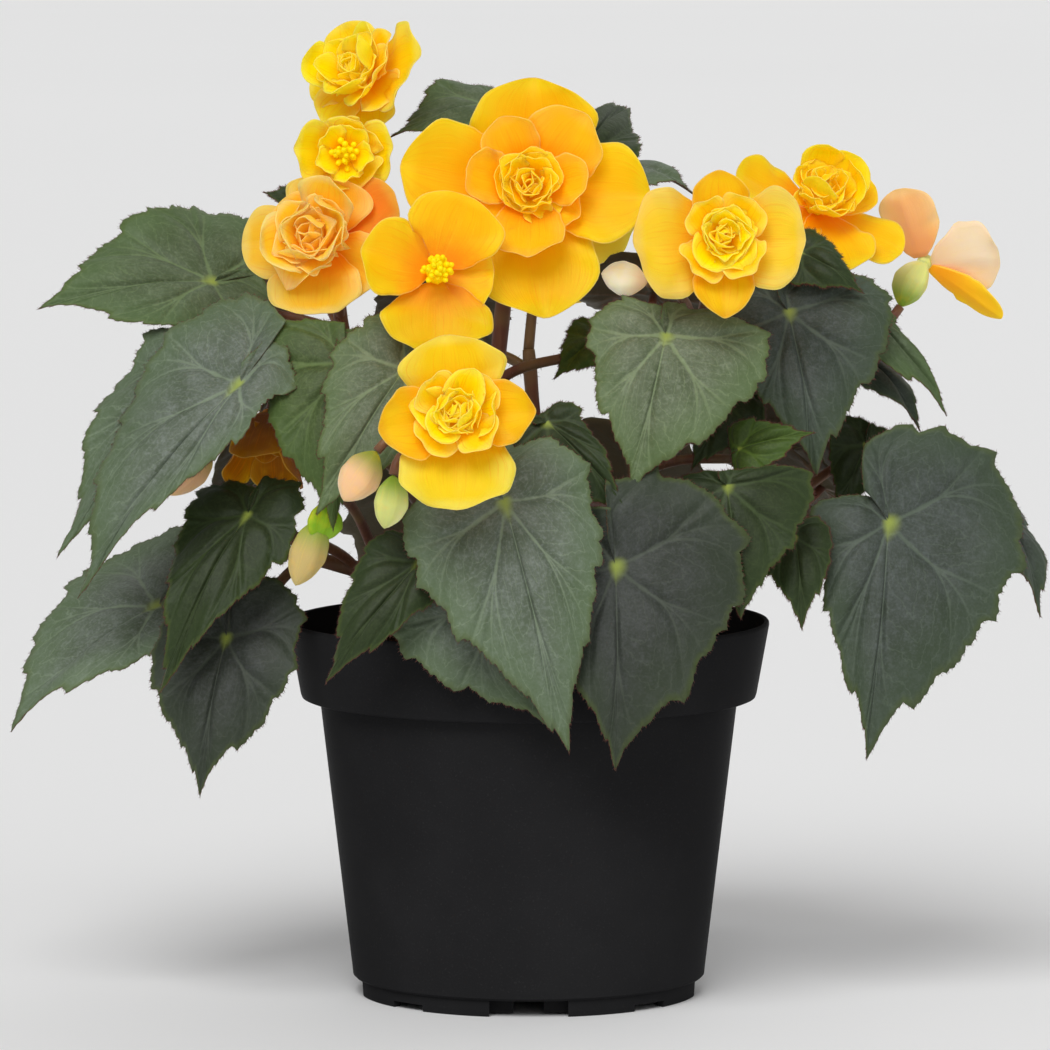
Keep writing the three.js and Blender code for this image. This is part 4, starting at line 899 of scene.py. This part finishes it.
def bloom_piece(bloom, number, material):
    rng = np.random.default_rng(BLOOM_SEED + number)
    frame = bloom_frame(bloom)
    centre, axis = frame[:2]
    shape = petal_shape()
    colours, heart = bloom["tones"], bloom["heart"]
    blob(shape, centre, axis, 2 * CORE_RADIUS, CORE_RADIUS * 0.8, shade=heart[1], **PLAIN)

    def layer(petals, forward, cells, shades, ruffle, curl=PETAL_CURL):
        """A ring of petals, every other one over its neighbours and the odd one half over"""
        for i, row in enumerate(petals):
            clock, length, width, opening, point = (*row, 0)[:5]
            last = len(petals) % 2 and i == len(petals) - 1
            over = 0.5 if last else i % 2
            paint = shades[i] if isinstance(shades, list) else shades
            if paint is VIVID:
                # The red-orange petal lies under its neighbours
                over = -0.6
            petal(shape, frame, rng, forward + over * PETAL_GAP, clock, length, width,
                  opening - 4 * over, curl, 0.1 + 0.08 * over, point, ruffle, cells, paint)

    layer(bloom["outer"], -1.6, FINE_PETAL, colours, 0.035)
    layer(bloom.get("inner", []), 0.2, FINE_PETAL, bloom.get("middle", colours), 0.05)
    if "whorl" in bloom:
        count, length, width, opening, clock = bloom["whorl"]
        petals = [(clock + 360 * i / count, length * (1 - 0.08 * (i % 2)), width,
                   opening + 6 * (i % 2), 0.4) for i in range(count)]
        layer(petals, 1.6, SMALL_PETAL, heart, 0.08, WHORL_CURL)
    if "stamens" in bloom:
        stamens(shape, frame, rng, bloom["stamens"])
    else:
        rosette(shape, frame, bloom, rng)
    shape.piece(bloom["name"], material, "petal")


def rosette(shape, frame, bloom, rng):
    """The small ruffled petals that fill the middle of a double bloom, ring inside ring"""
    length, width = bloom["whorl"][1:3]
    for tier, (count, size, opening, curl, offset) in enumerate(ROSETTE_RINGS):
        for i in range(count):
            clock = 360 * (i + tier * 0.4) / count + rng.uniform(-34, 34)
            grown = size * rng.uniform(0.72, 1.3)
            petal(shape, frame, rng, 0.9 + tier, clock, length * grown,
                  width * size * rng.uniform(1.0, 1.5), opening + rng.uniform(-16, 10),
                  curl + rng.uniform(-20, 30), rng.uniform(0.1, 0.6), rng.uniform(0, 0.4),
                  rng.uniform(0.06, 0.16), SMALL_PETAL, bloom["heart"], (2, 5), offset)


def stamens(shape, frame, rng, count):
    """An uneven dome of yellow stamens"""
    centre, axis = frame[:2]
    for i in range(count):
        share = (i + 0.5) / count
        lean = np.sqrt(share) * rng.uniform(0.8, 1.15)
        out = towards(frame, i * GOLDEN_TURN + rng.uniform(-20, 20))
        stalk = unit(axis + out * lean * 0.8)
        top = centre + axis * (4.0 + 2.8 * (1 - share) + rng.uniform(-0.7, 0.7)) + out * 3.6 * lean
        blob(shape, top, stalk, rng.uniform(1.8, 2.8), rng.uniform(0.7, 0.95), shade=LEMON[1], **PLAIN)
        blob(shape, top - stalk * 1.9, stalk, 3.4, 0.28, shade=LEMON[1], **PLAIN)


# Emission of the petal colour is a painted glow: it stands in for light that passes through the thin
# petals and brightens their shaded parts
def petal_material(name, streak, painted_glow):
    paint = Paint(name, Roughness=0.5, Subsurface_Weight=0.5, Subsurface_Scale=0.005,
                  Subsurface_Radius=(1.0, 0.6, 0.1), Specular_IOR_Level=0.15,
                  Emission_Strength=painted_glow)
    place = paint.place()
    lines = paint.node("ShaderNodeCombineXYZ", {0: paint.layer("across"), 1: paint.layer("along")})
    stripes = paint.noise(paint.stretched(lines, (2.2, 0.05, 1.0)), 1.0, 3.0, 0.6)
    colour = paint.coats(
        paint.layer("shade", "Color"),
        (paint.between(stripes, 0.52, 0.8, 0.0, streak), linear(238, 132, 4)),
        (paint.between(stripes, 0.45, 0.25, 0.0, 0.15), linear(255, 222, 60)),
        (paint.between(paint.noise(place, 160), 0.5, 0.75, 0.0, 0.18), linear(255, 196, 20)),
    )
    # The pale rims are scaled by the red of the colour, so they stay faint on the bloom painted dark
    # in shade
    red = paint.node("ShaderNodeSeparateColor", {"Color": colour})
    pale = paint.between(paint.layer("margin"), 0.5, 0.1, 0.0, 0.34)
    colour = paint.coats(
        colour,
        (paint.times(pale, red), linear(253, 216, 132)),
        (paint.times(paint.layer("side"), 0.6), paint.layer("under", "Color")),
    )
    relief = paint.bump(stripes, 0.0003, 0.35)
    relief = paint.bump(paint.noise(place, 2400, 2.0), 0.00005, 0.4, relief)
    # The emission is the painted glow of the petals
    return paint.set(Base_Color=colour, Emission_Color=colour, Normal=relief)


# Buds and ovaries

def pod(shape, base, tip, width, flat, wings, shades):
    """A closed egg: flat is its depth as a share of its width, wings the height of three ridges"""
    start, along, front, side, length = line_frame(base, tip, (0, -1, 0.2))
    rows, columns = 28, 36
    s = np.linspace(0, 1, rows)
    share = np.interp(s, *np.transpose(POD))
    share = np.convolve(np.pad(share, 2, mode="edge"), (0.1, 0.2, 0.4, 0.2, 0.1), "valid")
    share[[0, -1]] = 0
    turn = round_turn(columns)
    third = np.cos(1.5 * turn) ** 2
    swell = 1 + wings * (1.35 * third ** 4 - 0.35)
    if not wings:
        swell = swell + 0.05 * np.sin(5 * turn + 4 * s[:, None]) * np.sin(np.pi * s[:, None])
    valve = 1 if wings else 0.45 + 0.55 * np.abs(np.sin(turn))
    half = (width / 2 * share)[:, None] * swell * (1 + 0.02 * np.sin(14 * turn))
    points = (start + (s * length)[:, None, None] * along
              + (half * np.cos(turn))[..., None] * side
              + (half * flat * valve * np.sin(turn))[..., None] * front)
    edge = np.abs(np.cos(turn)) ** 6 * ease(0.3, 1, s)[:, None] * 0.7
    shape.add(points, grid(rows, columns, closed=True), margin=5.0,
              shade=tinted(shades, ease(0.05, 0.6, s)[:, None], edge),
              across=np.tile(turn * width / 2, rows), along=np.repeat(s * length, columns))


def bud_piece(bud, material):
    shape = petal_shape()
    pod(shape, bud["base"], bud["tip"], bud["width"], bud["flat"], bud.get("wings", 0),
        bud["tones"])
    if "cap" in bud:
        pod(shape, *bud["cap"], 8, 0.9, 0.5, BRACT)
    shape.piece(bud["name"], material, "bud")


def seed_bloom_piece(bloom, material):
    rng = np.random.default_rng(SEED_BLOOM_SEED)
    frame = bloom_frame(bloom)
    centre, axis = frame[:2]
    shape = petal_shape()
    for (clock, length, width, opening, point), shades in zip(bloom["outer"], bloom["tones"]):
        petal(shape, frame, rng, 0, clock, length, width, opening, 10, 0.16, point, 0.04,
              FINE_PETAL, shades)
    pod(shape, *bloom["ovary"], 9, 0.9, 0.25, OVARY)
    blob(shape, centre, axis, 5.0, 2.3, shade=OVARY[1], **PLAIN)
    shape.piece(bloom["name"], material, "salmon_petal")


# Stems and stalks

def tube(shape, points, radii, sides=10):
    """A closed round tube along a line of points"""
    steps = np.gradient(points, axis=0)
    steps /= np.linalg.norm(steps, axis=1)[:, None]
    side = across((0.3, 0.9, 0.31), steps[0])
    turn = round_turn(sides)[:, None]
    rings = []
    for point, step, radius in zip(points, steps, radii):
        side = across(side, step)
        other = np.cross(step, side)
        rings.append(point + radius * (np.cos(turn) * side + np.sin(turn) * other))
    count = len(points)
    faces = grid(count, sides, closed=True)
    faces.append(tuple(range(sides))[::-1])
    faces.append(tuple((count - 1) * sides + j for j in range(sides)))
    shape.add(np.concatenate(rings), faces, thin=np.repeat(radii, sides))


def stalk(shape, root, end, arrive, rng, lead=None):
    """A hairy stalk from root, a stem and the share along it, that leaves upwards or along lead and
    ends in the direction arrive"""
    stem, share = root
    start = through(STEMS[stem], np.array(share))
    chord = end - start
    reach = np.linalg.norm(chord)
    leave = unit(lead) if lead else unit(unit(chord) + np.array((0, 0, 0.5)))
    first = start + leave * reach * 0.35
    second = end - arrive * min(reach * 0.4, 16)
    t = np.linspace(0, 1, STALK_POINTS)[:, None]
    line = ((1 - t) ** 3 * start + 3 * (1 - t) ** 2 * t * first + 3 * (1 - t) * t * t * second
            + t ** 3 * end)
    radii = STALK_RADIUS * (1.3 - 0.2 * t[:, 0])
    tube(shape, line, radii)
    stem_hairs(shape, line, radii, rng, int(reach * 0.9))


def stem_hairs(shape, line, radii, rng, count):
    for _ in range(count):
        place = rng.uniform(0.1, 0.98) * (len(line) - 1)
        i = min(int(place), len(line) - 2)
        point = line[i] + (line[i + 1] - line[i]) * (place - i)
        out = across(rng.normal(0, 1, 3), unit(line[i + 1] - line[i]))
        spike(shape, point + out * radii[i] * 0.8, unit(out + rng.normal(0, 0.2, 3)),
              rng.uniform(0.8, 1.8), 0.1, thin=0.1)


def stems_piece(material):
    rng = np.random.default_rng(STEM_SEED)
    shape = Shape(("thin",))
    for points in STEMS.values():
        t = np.linspace(0, 1, 40)
        radii = STEM_RADIUS * (1 - 0.45 * t) * (1 + 0.05 * np.cos(t * 34))
        line = through(points, t)
        tube(shape, line, radii, 18)
        stem_hairs(shape, line, radii, rng, STEM_HAIRS)
    for leaf in LEAVES:
        base, along, face = line_frame(leaf["base"], leaf["tip"], leaf["face"])[:3]
        normal = unit(face - along * 4 * leaf["arch"])
        end = base - face * (BLADE + 0.5)
        stalk(shape, leaf["root"], end, unit(normal + along * 0.2), rng)
    for bloom in BLOOMS:
        centre, axis = bloom_frame(bloom)[:2]
        stalk(shape, bloom["root"], centre - axis * CORE_RADIUS * 0.9, axis, rng)
    pods = [(SEED_BLOOM["root"], *SEED_BLOOM["ovary"], None)]
    pods += [(bud["root"], bud["base"], bud["tip"], bud.get("lead")) for bud in BUDS]
    for root, base, tip, lead in pods:
        end = seen(base)
        stalk(shape, root, end, unit(seen(tip) - end), rng, lead)
    crown(shape)
    shape.piece("stems", material, "stem")


def crown(shape):
    """The knobbly crown that stands in the hole in the soil"""
    low = SOIL_LEVEL - CROWN_DEPTH
    profile = np.array([(0, low), (7, low), (CROWN_RADIUS, low + 3), (CROWN_RADIUS, SOIL_LEVEL - 2),
                        (CROWN_RADIUS, SOIL_LEVEL + 1), (7.6, SOIL_LEVEL + 3.6),
                        (4.5, SOIL_LEVEL + 5.6), (0, SOIL_LEVEL + 6.5)])
    turn = round_turn(CROWN_SIDES)
    r, z = profile.T[..., None]
    r = r * (1 + 0.05 * np.sin(5 * turn + z) + 0.03 * np.sin(11 * turn))
    shape.add(spun(r, turn, z), grid(len(profile), CROWN_SIDES, closed=True), thin=3.0)


def stem_material():
    paint = Paint("stem_skin", Roughness=0.5, Subsurface_Weight=0.08, Subsurface_Scale=0.003,
                  Sheen_Weight=0.15, Specular_IOR_Level=0.4)
    place = paint.place()
    streaks = paint.noise(paint.stretched(place, (900.0, 900.0, 60.0)), 1.0)
    colour = paint.coats(
        linear(112, 66, 48),
        (paint.between(paint.noise(place, 70, 2.0), 0.4, 0.65), linear(126, 98, 60)),
        (paint.between(streaks, 0.5, 0.8, 0.0, 0.5), linear(150, 104, 76)),
        (paint.between(paint.layer("thin"), 1.6, 3.0, 0.0, 0.55), linear(84, 54, 42)),
    )
    relief = paint.bump(streaks, 0.0002, 0.4)
    return paint.set(Base_Color=colour, Normal=relief)


# Pot and soil

def lathe(profile, sides):
    """A grid of points round the pot's axis from radii and heights"""
    r, z = np.array(profile, float).T[..., None]
    return spun(r, round_turn(sides), z)


def turned(turn, x, y, z):
    """A place in front of the pot's axis, turned about it"""
    angle = np.radians(turn)
    return (MM * (x * np.cos(angle) + y * np.sin(angle)),
            MM * (x * np.sin(angle) - y * np.cos(angle)), MM * z)


def block(turn, x, y, z, width, depth, height):
    """A box that cuts or adds to the pot's foot"""
    bpy.ops.mesh.primitive_cube_add(size=1, location=turned(turn, x, y, z),
                                    rotation=(0, 0, np.radians(turn)))
    made = bpy.context.object
    made.scale = (width * MM, depth * MM, height * MM)
    return made


def drill(turn, ring, height, radius):
    """A cylinder that cuts a hole in the pot's floor"""
    bpy.ops.mesh.primitive_cylinder_add(vertices=32, radius=radius * MM, depth=10 * MM,
                                        location=turned(turn + 180, 0, ring, height))
    return bpy.context.object


def carve(thing, tool, operation="DIFFERENCE"):
    """Applies one cut or union and removes the tool"""
    step = thing.modifiers.new("step", "BOOLEAN")
    step.object = tool
    step.operation = operation
    step.solver = "EXACT"
    bpy.context.view_layer.objects.active = thing
    bpy.ops.object.modifier_apply(modifier=step.name)
    bpy.data.objects.remove(tool)


def pot_profile():
    """Radii and heights of the pot's wall: out under the foot, up the outside, down the inside"""
    base = POT_HEIGHT - LIP_HEIGHT
    foot = FOOT_RADIUS - FOOT_WIDTH
    inside = RIM_RADIUS - POT_WALL
    body = [(BODY_FOOT_RADIUS + (BODY_TOP_RADIUS - BODY_FOOT_RADIUS) * t,
             FOOT_HEIGHT + 3 + (base - FOOT_HEIGHT - 3) * t) for t in np.linspace(0.05, 0.995, 16)]
    lip = [(LIP_FOOT_RADIUS + (RIM_RADIUS - LIP_FOOT_RADIUS) * t,
            base + 1.4 + (LIP_HEIGHT - 2.6) * t) for t in np.linspace(0.15, 1, 7)]
    return [
        (0, FOOT_HEIGHT), (foot, FOOT_HEIGHT), (foot, 0.4), (foot + 0.3, 0),
        (FOOT_RADIUS - 0.3, 0), (FOOT_RADIUS, 0.4), (FOOT_RADIUS + 0.25, FOOT_HEIGHT - 0.2),
        (BODY_FOOT_RADIUS - 0.9, FOOT_HEIGHT), (BODY_FOOT_RADIUS - 0.25, FOOT_HEIGHT + 0.6),
        (BODY_FOOT_RADIUS, FOOT_HEIGHT + 3), *body,
        (BODY_TOP_RADIUS + 0.4, base - 0.05), (LIP_FOOT_RADIUS - 1.2, base),
        (LIP_FOOT_RADIUS - 0.35, base + 0.35), (LIP_FOOT_RADIUS, base + 1.4), *lip,
        (RIM_RADIUS - 0.05, POT_HEIGHT - 0.5), (RIM_RADIUS - 0.35, POT_HEIGHT - 0.1),
        (RIM_RADIUS - POT_WALL / 2, POT_HEIGHT), (inside + 0.1, POT_HEIGHT - 0.3),
        (inside - 0.1, POT_HEIGHT - 1.2),
        (LIP_FOOT_RADIUS - POT_WALL - 0.3, base + POT_WALL + 0.6),
        (BODY_TOP_RADIUS - POT_WALL + 0.2, base + POT_WALL),
        (BODY_FOOT_RADIUS - POT_WALL, FOOT_HEIGHT + POT_WALL + 1), (0, FOOT_HEIGHT + POT_WALL),
    ]


def pot_piece(material):
    profile = pot_profile()
    shape = Shape()
    shape.add(lathe(profile, POT_SIDES), grid(len(profile), POT_SIDES, closed=True))
    thing = shape.piece("pot", material, "pot")
    ring = FOOT_RADIUS - FOOT_WIDTH / 2
    width = (NOTCH_WIDTH - NOTCH_GAP) / 2
    for turn in (0, 90, 180, 270):
        carve(thing, block(turn, 0, ring, 0, NOTCH_WIDTH, 2 * FOOT_WIDTH, 2 * NOTCH_HEIGHT))
        carve(thing, block(turn + 45, 0, ring, 0, RELIEF_WIDTH, 2 * FOOT_WIDTH, 2 * FOOT_RELIEF))
        carve(thing, drill(turn + 45, DRAIN_RING, FOOT_HEIGHT, DRAIN_RADIUS))
        for side in (-1, 1):
            lug = block(turn, side * (NOTCH_GAP + width) / 2, LUG_RADIUS,
                        LUG_LIFT + FOOT_HEIGHT / 2, width, LUG_DEPTH, FOOT_HEIGHT)
            carve(thing, lug, "UNION")
    thing.data.set_sharp_from_angle(angle=np.radians(35))


def pot_material():
    paint = Paint("pot_plastic", IOR=1.03)
    place = paint.place()
    fine = paint.noise(place, 1800)
    flow = paint.noise(paint.stretched(place, (14.0, 14.0, 420.0)), 1.0, 2.0)
    dust = paint.times(paint.between(fine, 0.55, 0.8), 0.12)
    colour = paint.coats(
        linear(34, 34, 35),
        (paint.between(paint.noise(place, 26), 0.35, 0.7), linear(38, 38, 39)),
        (dust, linear(84, 83, 82)),
    )
    roughness = paint.between(fine, 0.3, 0.8, 0.36, 0.5)
    relief = paint.bump(flow, 0.00012, 0.25)
    relief = paint.bump(fine, 0.00004, 0.5, relief)
    return paint.set(Base_Color=colour, Roughness=roughness, Normal=relief)


def soil_height(x, y, phases):
    """The height of the uneven soil at a place"""
    radius = np.hypot(x, y)
    rise = np.interp(radius, *np.transpose(SOIL_RISE))
    swell = 0.7 * np.sin(x * 0.31 + 1.7) * np.cos(y * 0.27) + 0.4 * np.sin(x * 0.9 + y * 0.7)
    lump = sum(0.35 * np.sin(x * k + p) * np.sin(y * k * 1.1 + q)
               for k, p, q in zip((1.3, 2.1, 3.3), phases[:3], phases[3:]))
    return SOIL_LEVEL + rise + (swell + lump) * (radius < 60)


def soil_piece(material):
    rng = np.random.default_rng(SOIL_SEED)
    phases = rng.uniform(0, 6.28, 6)
    clear = POT_WALL + SOIL_GAP
    base = POT_HEIGHT - LIP_HEIGHT
    edge = LIP_FOOT_RADIUS - clear + 1
    under = lathe([(0, FOOT_HEIGHT + clear),
                   (BODY_FOOT_RADIUS - clear - 0.2, FOOT_HEIGHT + clear + 0.9),
                   (BODY_TOP_RADIUS - clear, base + clear + 0.2),
                   (LIP_FOOT_RADIUS - clear - 0.6, base + clear + 0.6),
                   (edge, SOIL_LEVEL - 0.3)], SOIL_SIDES)
    turn = round_turn(SOIL_SIDES)
    r = np.linspace(edge - 0.1, CROWN_RADIUS + 0.3, SOIL_ROWS)[:, None]
    top = spun(r, turn, soil_height(r * np.cos(turn), r * np.sin(turn), phases))
    floor = SOIL_LEVEL - CROWN_DEPTH - 0.3
    hole = lathe([(CROWN_RADIUS + 0.3, floor), (0, floor)], SOIL_SIDES)
    points = np.concatenate([under, top, hole])
    shape = Shape(("clod",))
    shape.add(points, grid(len(points), SOIL_SIDES, closed=True),
              clod=rng.uniform(0, 0.4, len(points) * SOIL_SIDES))
    for _ in range(SOIL_CRUMBS):
        radius = np.sqrt(rng.uniform(0.03, 1)) * CRUMB_REACH
        angle = rng.uniform(0, 2 * np.pi)
        x, y = radius * np.cos(angle), radius * np.sin(angle)
        size = rng.uniform(0.5, 1.9)
        crumb(shape, np.array((x, y, soil_height(x, y, phases) + size * 0.25)), size, rng)
    shape.piece("soil", material, "soil")


def crumb(shape, centre, size, rng):
    """A rough grain of peat"""
    rows, columns = 5, 6
    s = np.linspace(0.0, np.pi, rows)[:, None]
    points = spun(np.sin(s), round_turn(columns), -np.cos(s))
    points = points * rng.uniform(0.5, 1.2, 3) * size
    points = points * (1 + rng.uniform(-0.25, 0.25, (rows, columns, 1)))
    points[0] = points[0].mean(axis=0)
    points[-1] = points[-1].mean(axis=0)
    shape.add(points + centre, grid(rows, columns, closed=True), clod=rng.uniform(0.2, 1.0))


def soil_material():
    paint = Paint("soil_peat", Roughness=0.95, Specular_IOR_Level=0.2)
    place = paint.place()
    grains = paint.noise(place, 900, 4.0, 0.7)
    colour = paint.coats(
        linear(36, 24, 17),
        (paint.layer("clod"), linear(92, 62, 42)),
        (paint.between(grains, 0.5, 0.8, 0.0, 0.6), linear(118, 84, 58)),
    )
    relief = paint.bump(grains, 0.0006, 0.9)
    return paint.set(Base_Color=colour, Normal=relief)


skin = leaf_material()
for number, leaf in enumerate(LEAVES):
    leaf_piece(leaf, number, skin)
# The last number is the strength of the painted glow of the petals
petals = petal_material("petal_skin", 0.6, 0.1)
for number, bloom in enumerate(BLOOMS):
    bloom_piece(bloom, number, petals)
# A stronger painted glow lifts the pale petals and buds where the blooms shade them
pale_petals = petal_material("pale_petal_skin", 0.1, 0.2)
seed_bloom_piece(SEED_BLOOM, pale_petals)
for bud in BUDS:
    bud_piece(bud, pale_petals)
stems_piece(stem_material())
pot_piece(pot_material())
soil_piece(soil_material())


# Camera, light and floor

def floor_piece():
    mesh = bpy.data.meshes.new("floor")
    corners = [(x * FLOOR_HALF, y * FLOOR_HALF, 0) for x, y in ((-1, -1), (1, -1), (1, 1), (-1, 1))]
    mesh.from_pydata(corners, [], [(0, 1, 2, 3)])
    paint = Paint("floor_paint", Roughness=0.7, Specular_IOR_Level=0.2)
    shade = paint.noise(paint.place(), 0.3, 2.0)
    colour = paint.mix(shade, (0.88, 0.88, 0.88), (0.92, 0.92, 0.92))
    mesh.materials.append(paint.set(Base_Color=colour))
    floor = bpy.data.objects.new("floor", mesh)
    bpy.context.collection.objects.link(floor)


def soft_light(name, place, softness, strength):
    """A broad studio light that shines from a place towards the plant"""
    data = bpy.data.lights.new(name, "SUN")
    data.angle = np.radians(softness)
    data.energy = strength
    light = bpy.data.objects.new(name, data)
    light.location = place
    light.rotation_euler = (-Vector(place)).to_track_quat("-Z", "Y").to_euler()
    bpy.context.collection.objects.link(light)


def studio():
    world = bpy.data.worlds.new("studio")
    world.use_nodes = True
    backdrop = world.node_tree.nodes["Background"]
    backdrop.inputs["Color"].default_value = (1, 1, 1, 1)
    backdrop.inputs["Strength"].default_value = SKY_STRENGTH
    bpy.context.scene.world = world
    # The default transform dulls the yellow of the petals
    bpy.context.scene.view_settings.view_transform = "Standard"
    for name, settings in LIGHTS.items():
        soft_light(name, *settings)


def camera():
    data = bpy.data.cameras.new("camera")
    data.sensor_width = SENSOR
    data.lens = LENS
    data.clip_start, data.clip_end = CLIP
    made = bpy.data.objects.new("camera", data)
    made.location = VIEWPOINT * MM
    aim = Vector((TARGET - VIEWPOINT) * MM)
    made.rotation_euler = aim.to_track_quat("-Z", "Y").to_euler()
    bpy.context.collection.objects.link(made)
    bpy.context.scene.camera = made


floor_piece()
studio()
camera()
